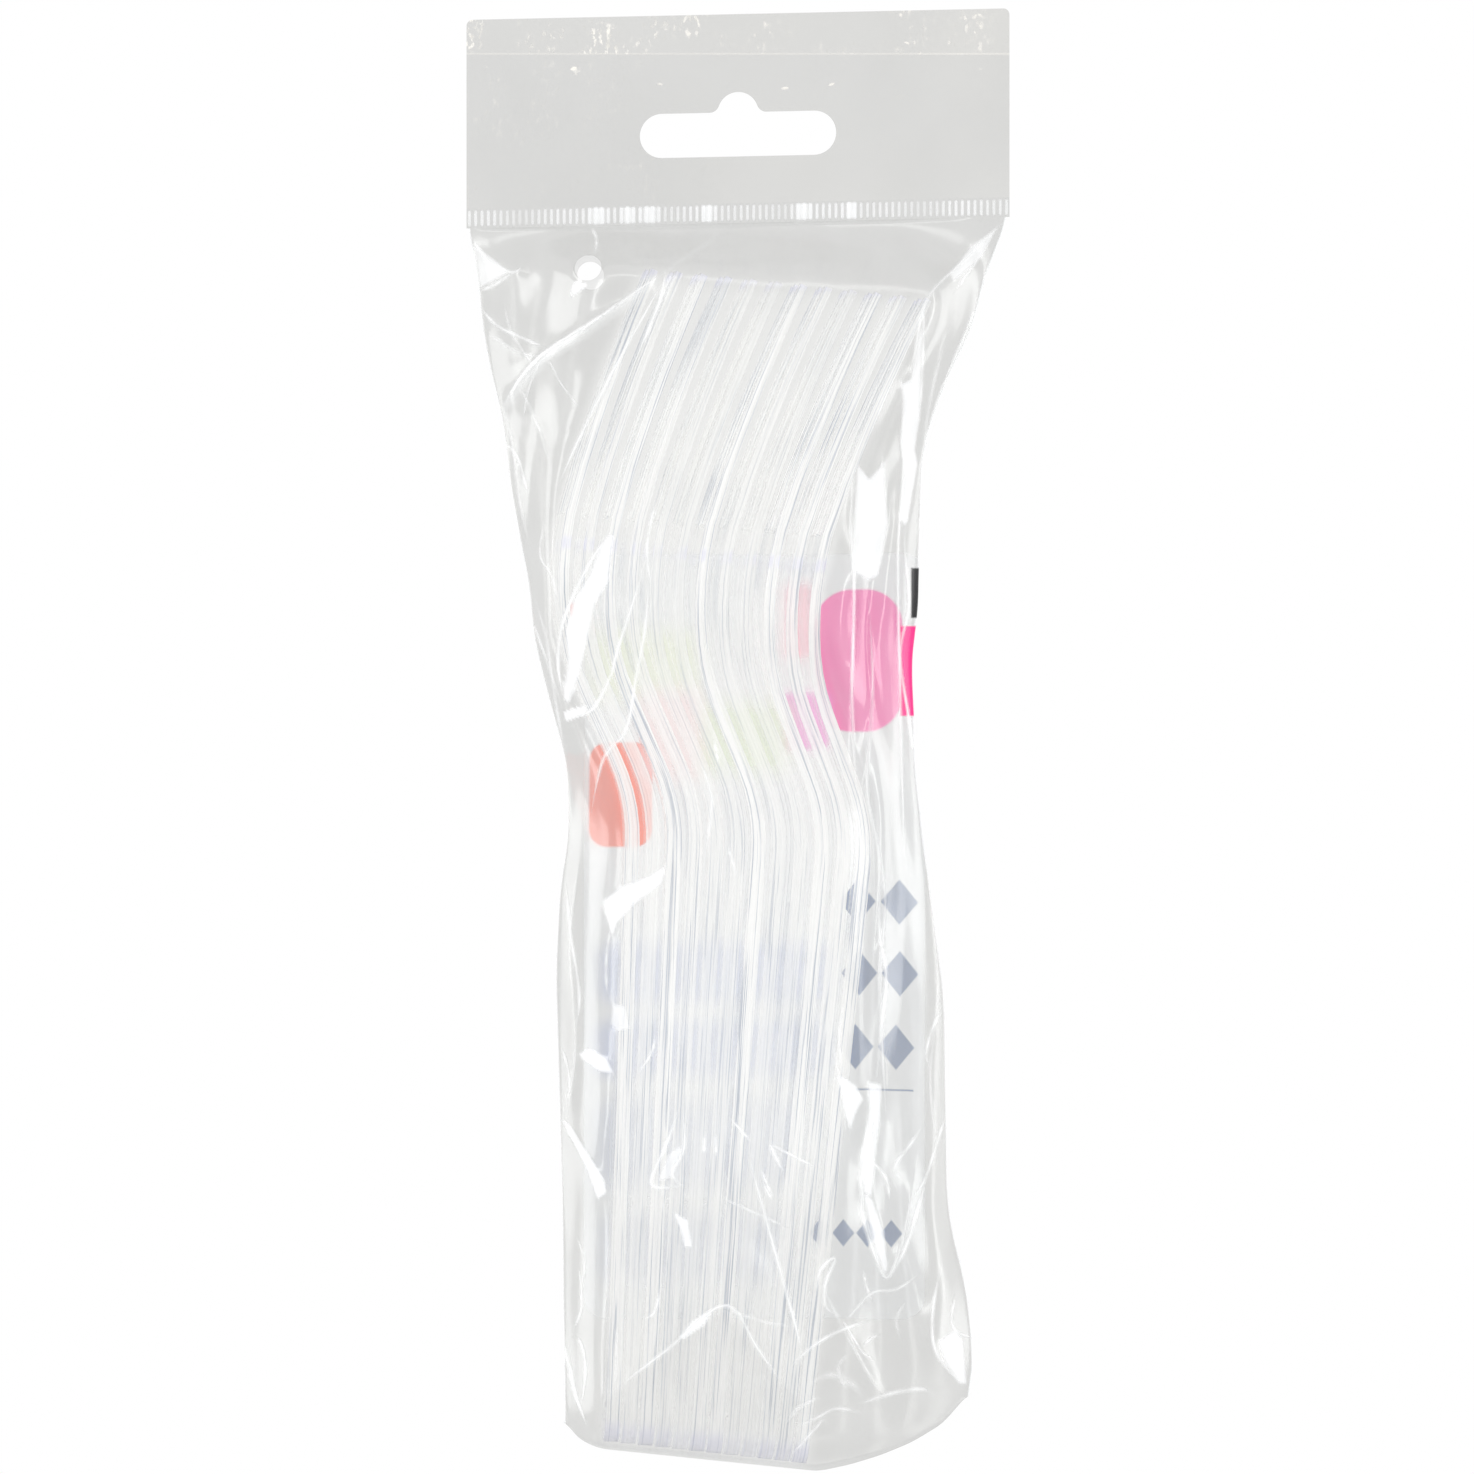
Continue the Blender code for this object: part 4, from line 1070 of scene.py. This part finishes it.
def headerMaterial():
    # two smooth layers, with a paler speckled band along the folded top, scuffs here and there and painted
    # glints
    shader = Shader(bpy.data.materials.new("header_film"))
    point = shader.place()
    x, z = shader.axes(point, "XZ")
    cloud = shader.noise(point, header["cloudScale"], 3.0)
    speck = shader.noise(shader.stretched(point, header["speckStretch"]), header["speckScale"], 3.0)
    glint = shader.noise(shader.stretched(point, header["glintStretch"]), header["glintScale"])
    patchScale, patchFrom, patchWhole = header["speckPatches"]
    hazeScale, hazeFrom, hazeWhole = header["hazeClouds"]
    up = z - header["foldLine"]
    band = up.ramp(*header["foldSoft"])
    line = abs(up).ramp(*header["foldWidth"])
    scuff = speck.ramp(*header["speckFrom"]) * shader.noise(point, patchScale).ramp(patchFrom, patchWhole)
    scuff = scuff * (header["scuffBelow"] + band * header["scuffOnBand"]) * x.ramp(*header["wornAcross"])
    # painted glints, paler and less metallic like the scuffs
    glint = glint.ramp(*header["glintFrom"]) * header["glint"] * z.ramp(*header["glintHeight"])
    marksAndGlints = scuff.most(glint) + line * header["foldMark"] + band * header["bandMark"]
    cover = film["cover"] + (cloud - 0.5) * header["cloudDepth"] + marksAndGlints
    haze = shader.noise(point, hazeScale).ramp(hazeFrom, hazeWhole) * x.ramp(*header["hazeAcross"])
    pale = (marksAndGlints * header["scuffAndGlintWhite"] + haze * header["haze"]).least(1.0)
    skin = shader.skin({
        "Base Color": shader.mixColour(pale, film["grey"], header["scuffAndGlintColour"]),
        "Roughness": film["roughness"],
        "Normal": shader.bump(cloud, *header["cloudBump"]),
        "Metallic": (film["metallic"] - marksAndGlints * header["scuffAndGlintMatt"]).most(0.0)})
    whole = shader.mixLayers(cover.least(film["mostCover"]), shader.clear(film["tint"]), skin)
    return shader.surface(whole, film["passing"])


def addHeader():
    mesh = bpy.data.meshes.new("film_header")
    bm = bmesh.new()
    for side in (-1, 1):
        edges = []
        for ring in (headerOutline(), slotOutline()):
            made = [bm.verts.new((x, side * header["layer"], rolled(x, z))) for x, z in ring]
            edges += [bm.edges.new((made[k - 1], made[k])) for k in range(len(made))]
        bmesh.ops.triangle_fill(bm, use_beauty=True, use_dissolve=False, edges=edges, normal=(0, side, 0))
    bm.to_mesh(mesh)
    bm.free()
    finishPiece(addPiece("film_header", mesh), headerMaterial(), "bag_film", "header_bag")
    print("header made")


def addWeld():
    # ticks pressed across the band, about a millimetre apart
    half, top, low, soft = header["half"], header["low"], pouch["top"], header["tickSoft"]
    x = np.linspace(-half, half, int(2 * half / header["tickStep"]))[None, :]
    z = np.concatenate([[0], np.linspace(0.0001, 0.9999, 7), [1]])[:, None]
    z = top + (low - top) * z
    x, z = x + 0 * z, z + 0 * x
    share = np.abs(np.mod(x / header["tickPitch"], 1) - 0.5) * header["tickPitch"]
    ends = ease(np.minimum(top - z, z - low), *header["tickEnds"])
    tick = ease(header["tickWidth"] / 2 + soft - share, 0, 2 * soft) * ends
    (a, atA), (b, atB) = header["tickWaves"]
    broken = 1 - header["tickUneven"] + header["tickUneven"] * np.sin(x / a + atA) * np.sin(x / b + atB)
    white = tick * header["tickWhite"] * broken
    # a painted highlight where a few groups of ticks shine
    for place, reach in header["brightTicks"]:
        white = white + np.exp(-(((x - spot(place, 0)[0]) / reach) ** 2)) * ends * header["tickShine"]
    for name, side in (("weld_near", -1), ("weld_far", 1)):
        y = side * (header["layer"] + header["tickLift"] * tick)
        piece = gridMesh(name, x, y, rolled(x, z), {"whitening_and_highlight": white}, side > 0)
        finishPiece(piece, filmMaterial(name), "bag_film")
    print("weld made")


addHeader()
addWeld()


# forks

fork = {
    "bevel": 0.00028,
    "bevelSteps": 2,
    "sharpAngle": math.radians(38),
    "flatAngle": math.radians(0.6),
    "smoothAngle": math.radians(50),
    "turn": math.radians(4.0),  # the stack lies turned in the bag
    "tineRoot": 0.146,  # above the butt
    # the pale streaks and the darker lines are painted light and painted shade for what the clear plastic
    # refracts
    "white": (0.98, 0.98, 0.975, 1),
    "line": (0.46, 0.50, 0.58, 1),
    "lavender": (0.74, 0.74, 0.92, 1),
    "clear": (0.992, 0.992, 0.990, 1),
    "passing": (0.992, 0.992, 0.992, 1),
    "roughness": 0.14,
    "index": 1.58,
    "bump": (0.15, 0.0004),
    "cover": 0.64,
    "mostCover": 0.95,
    "sideCover": 0.24,
    "innerShare": 0.24,  # how much of the near edges' cover the inner tines show
    "behind": 0.8,  # how much less an edge shows from inside the plastic
    "edgeFrom": (0.985, 0.93),
    # painted streaks of light and shade along the edges: scale, how short they are, and a place in the noise
    "streaks": ((1.9, 5.0, 0.0), (4.6, 9.0, 3.7)),
    "streakApart": 3.1,
    "broadCover": 0.9,
    "darkFrom": (0.46, 0.36),
    "dark": 0.9,
    "darkCover": 0.15,
    # lavender at the tine roots, the butts and the tips
    "tint": 0.5,
    "tintCover": 0.3,
    "rootTint": (0.0016, 0.0004),
    "rootTintFrom": (0.35, 0.6),
    "buttTint": (0.0049, 0.00175),
    "tipTint": (0.1885, 0.1897),
    # how the forks differ in brightness, as painted light
    "dullest": 0.64,
    "brightest": 1.34,
    "shineFrom": (0.30, 0.68),
    "shineApart": 2.7,
    "shineAlong": 3.0,
    "shinePlace": 5.0,
    # fine streaks of painted sheen and painted shade on the broad faces
    "sheenAndShadeStreaks": (150.0, 5.3, 9.0),
    "paintedSheenFrom": (0.40, 0.64),
    "paintedSheen": 0.85,
    "tipPaintedSheen": 0.6,
    "shadeFrom": (0.42, 0.32),
    "shade": 0.30,
    "slotEnd": (0.011, 0.007),
    "slotEndUp": (0.35, 0.7),
}


def forkMaterial():
    # clear plastic seen edge on: the light and shade it refracts are painted as pale streaks along each fork,
    # with thin darker lines among them
    shader = Shader(bpy.data.materials.new("fork_plastic"))
    y, z = shader.axes(shader.place(), "YZ")
    across, number, along, outer = (shader.attribute(n) for n in ("across", "number", "along", "outer"))
    streaks = []
    for scale, stretch, place in fork["streaks"]:
        at = shader.vector(across, number * fork["streakApart"] + place, z * stretch)
        streaks.append(shader.noise(at, scale, 2.0, 0.55))
    broad, thin = streaks
    dark = thin.ramp(*fork["darkFrom"]) * fork["dark"]
    root = abs(along - fork["tineRoot"])
    tint = root.ramp(*fork["rootTint"]) * broad.ramp(*fork["rootTintFrom"])
    tint = tint.most(along.ramp(*fork["buttTint"])).most(along.ramp(*fork["tipTint"])) * fork["tint"]
    colour = shader.mixColour(dark, fork["white"], fork["line"])
    colour = shader.mixColour(tint, colour, fork["lavender"])
    # the broad sides, and the edges that are seen from inside, show less than the near edges
    edge = abs(across).ramp(*fork["edgeFrom"])
    facing = shader.facing(0.5)
    inner = shader.node("ShaderNodeNewGeometry", {}, {}, "Backfacing")
    side = fork["sideCover"] * (1.0 - edge) * (1.0 - facing).power(2.0)
    # painted light: some forks, and some places along them, brighter than others
    each = shader.vector(number * fork["shineApart"], z * fork["shineAlong"], fork["shinePlace"])
    shine = shader.noise(each, 1.0, 0.0).ramp(*fork["shineFrom"], fork["dullest"], fork["brightest"])
    near = edge * outer.ramp(0.4, 0.6, fork["innerShare"], 1.0) * shine * (1.0 - inner * fork["behind"])
    streaky = fork["cover"] + (broad - 0.5) * fork["broadCover"]
    cover = side + near * (streaky + tint * fork["tintCover"] + dark * fork["darkCover"])
    # seen nearly edge on, the broad faces show fine streaks of painted sheen and painted shade
    streakY, streakFork, streakZ = fork["sheenAndShadeStreaks"]
    sheenAndShadeStreaks = shader.vector(y * streakY, number * streakFork, z * streakZ)
    streak = shader.noise(sheenAndShadeStreaks, 1.0, 1.0)
    grazing = facing.power(4.0) * (1.0 - edge)
    upper = along.ramp(fork["tineRoot"], fork["tipTint"][0], 1.0, fork["tipPaintedSheen"])
    paintedSheen = streak.ramp(*fork["paintedSheenFrom"]) * grazing * upper
    shade = streak.ramp(*fork["shadeFrom"]) * grazing
    colour = shader.mixColour(shade, colour, fork["line"])
    cover = cover.most(paintedSheen * fork["paintedSheen"]).most(shade * fork["shade"])
    # the ends of the slots between the tines are hardly seen
    normal = shader.node("ShaderNodeNewGeometry", {}, {}, "Normal")
    upward = abs(shader.axes(normal, "Z")[0]).ramp(*fork["slotEndUp"])
    cover = cover * (1.0 - root.ramp(*fork["slotEnd"]) * upward)
    skin = shader.skin({
        "Base Color": colour, "Roughness": fork["roughness"], "IOR": fork["index"],
        "Normal": shader.bump(broad, *fork["bump"])})
    whole = shader.mixLayers(cover.least(fork["mostCover"]), shader.clear(fork["clear"]), skin)
    return shader.surface(whole, fork["passing"])


def roundedCopy(packed):
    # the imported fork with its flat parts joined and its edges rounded
    mesh = packed.copy()
    bm = bmesh.new()
    bm.from_mesh(mesh)
    bmesh.ops.remove_doubles(bm, verts=bm.verts, dist=1e-6)
    bmesh.ops.dissolve_limit(bm, angle_limit=fork["flatAngle"], verts=bm.verts, edges=bm.edges)
    sharp = [e for e in bm.edges if len(e.link_faces) == 2 and e.calc_face_angle(0) > fork["sharpAngle"]]
    bmesh.ops.bevel(
        bm, geom=sharp, offset=fork["bevel"], segments=fork["bevelSteps"], profile=0.5, affect="EDGES",
        clamp_overlap=True)
    bmesh.ops.triangulate(bm, faces=[f for f in bm.faces if len(f.verts) > 4])
    bm.to_mesh(mesh)
    bm.free()
    return mesh


def broadFaces(mesh, side):
    # a fork's front (1) or back (-1) faces as a tree
    faces = [p.vertices[:] for p in mesh.polygons if p.normal.x * side > 0.5]
    return BVHTree.FromPolygons([v.co[:] for v in mesh.vertices], faces)


def forkValues(mesh, node, number):
    # where each point lies on its fork: from back to front, above the butt, and on the outer edges or not
    front, back, whole = broadFaces(node.data, 1), broadFaces(node.data, -1), treeOf(node)
    low = min(v.co.z for v in mesh.vertices)
    values = {"across": [], "along": [], "number": [], "outer": []}
    for v in mesh.vertices:
        outward = Vector((-math.sin(fork["turn"]), math.cos(fork["turn"]), 0))
        if v.co.y < fork["turn"] * v.co.x:
            outward = -outward
        toFront, toBack = front.find_nearest(v.co)[3], back.find_nearest(v.co)[3]
        values["across"].append((toBack - toFront) / max(toBack + toFront, 1e-6))
        values["along"].append(v.co.z - low)
        values["number"].append(number)
        values["outer"].append(whole.ray_cast(v.co + outward * 0.0001, outward)[0] is None)
    return values


def addForks():
    material = forkMaterial()
    names = sorted(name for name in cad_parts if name.startswith("fork_"))
    for number, name in enumerate(names):
        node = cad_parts[name]
        mesh = roundedCopy(node.data)
        setValues(mesh, forkValues(mesh, node, number))
        mesh.materials.clear()
        mesh.shade_smooth()
        mesh.set_sharp_from_angle(angle=fork["smoothAngle"])
        finishPiece(addPiece(name + "_clear", mesh), material, "fork_plastic", name)
    print("forks made")


addForks()


# studio

studio = {
    "world": 0.87,
    "white": (1, 1, 1, 1),
    "floorHeight": -0.42,
    "floorSize": 6,
    "floorPaint": (0.9, 0.9, 0.9, 1),
    "floorRoughness": 0.8,
    "middle": (0, 0, -0.107),
    # name, place (azimuth, elevation and distance), width, height and brightness of each softbox
    "boxes": (
        ("left_box", -38, 8, 1.0, 0.26, 0.95, 2.3),
        ("right_box", 46, 10, 1.0, 0.20, 0.95, 2.5),
        ("top_box", 0, 48, 1.0, 0.90, 0.22, 1.4),
        ("far_left_box", -105, 0, 0.9, 0.5, 0.9, 1.6),
        ("far_right_box", 105, 0, 0.9, 0.5, 0.9, 1.6),
    ),
}


def seenDirectly(shader):
    # one for the camera, and for what is seen in gloss or through clear film
    camera = shader.node("ShaderNodeLightPath", {}, {}, "Is Camera Ray")
    through, gloss = shader.outputs(camera, ("Is Transmission Ray", "Is Glossy Ray"))
    return camera.most(through).most(gloss)


def addWorld():
    # the room lights the pack a little less than white, and looks white
    world = bpy.data.worlds.new("studio")
    scene.world = world
    shader = Shader(world, "ShaderNodeOutputWorld")
    room, white = (
        shader.node("ShaderNodeBackground", {}, {"Color": studio["white"], "Strength": strength})
        for strength in (studio["world"], 1.0))
    shader.surface(shader.mixLayers(seenDirectly(shader), room, white))


def addLights():
    for name, azimuth, elevation, distance, width, height, level in studio["boxes"]:
        light = bpy.data.lights.new(name, "AREA")
        light.shape = "RECTANGLE"
        light.size, light.size_y = width, height
        light.energy = level * math.pi * width * height  # so that its face has this brightness
        lamp = bpy.data.objects.new(name, light)
        scene.collection.objects.link(lamp)
        a, e = math.radians(azimuth), math.radians(elevation)
        away = Vector((math.sin(a) * math.cos(e), -math.cos(a) * math.cos(e), math.sin(e)))
        lamp.location = Vector(studio["middle"]) + away * distance
        lamp.rotation_euler = away.to_track_quat("Z", "Y").to_euler()
    print("lights set")


def addFloor():
    bpy.ops.mesh.primitive_plane_add(size=studio["floorSize"], location=(0, 0, studio["floorHeight"]))
    floor = bpy.context.active_object
    floor.name = "floor"
    shader = Shader(bpy.data.materials.new("floor_white"))
    paint = shader.skin({"Base Color": studio["floorPaint"], "Roughness": studio["floorRoughness"]})
    glow = shader.node("ShaderNodeEmission", {}, {"Color": studio["white"], "Strength": 1.0})
    floor.data.materials.append(shader.surface(shader.mixLayers(seenDirectly(shader), paint, glow)))
    print("floor laid")


addWorld()
addLights()
addFloor()
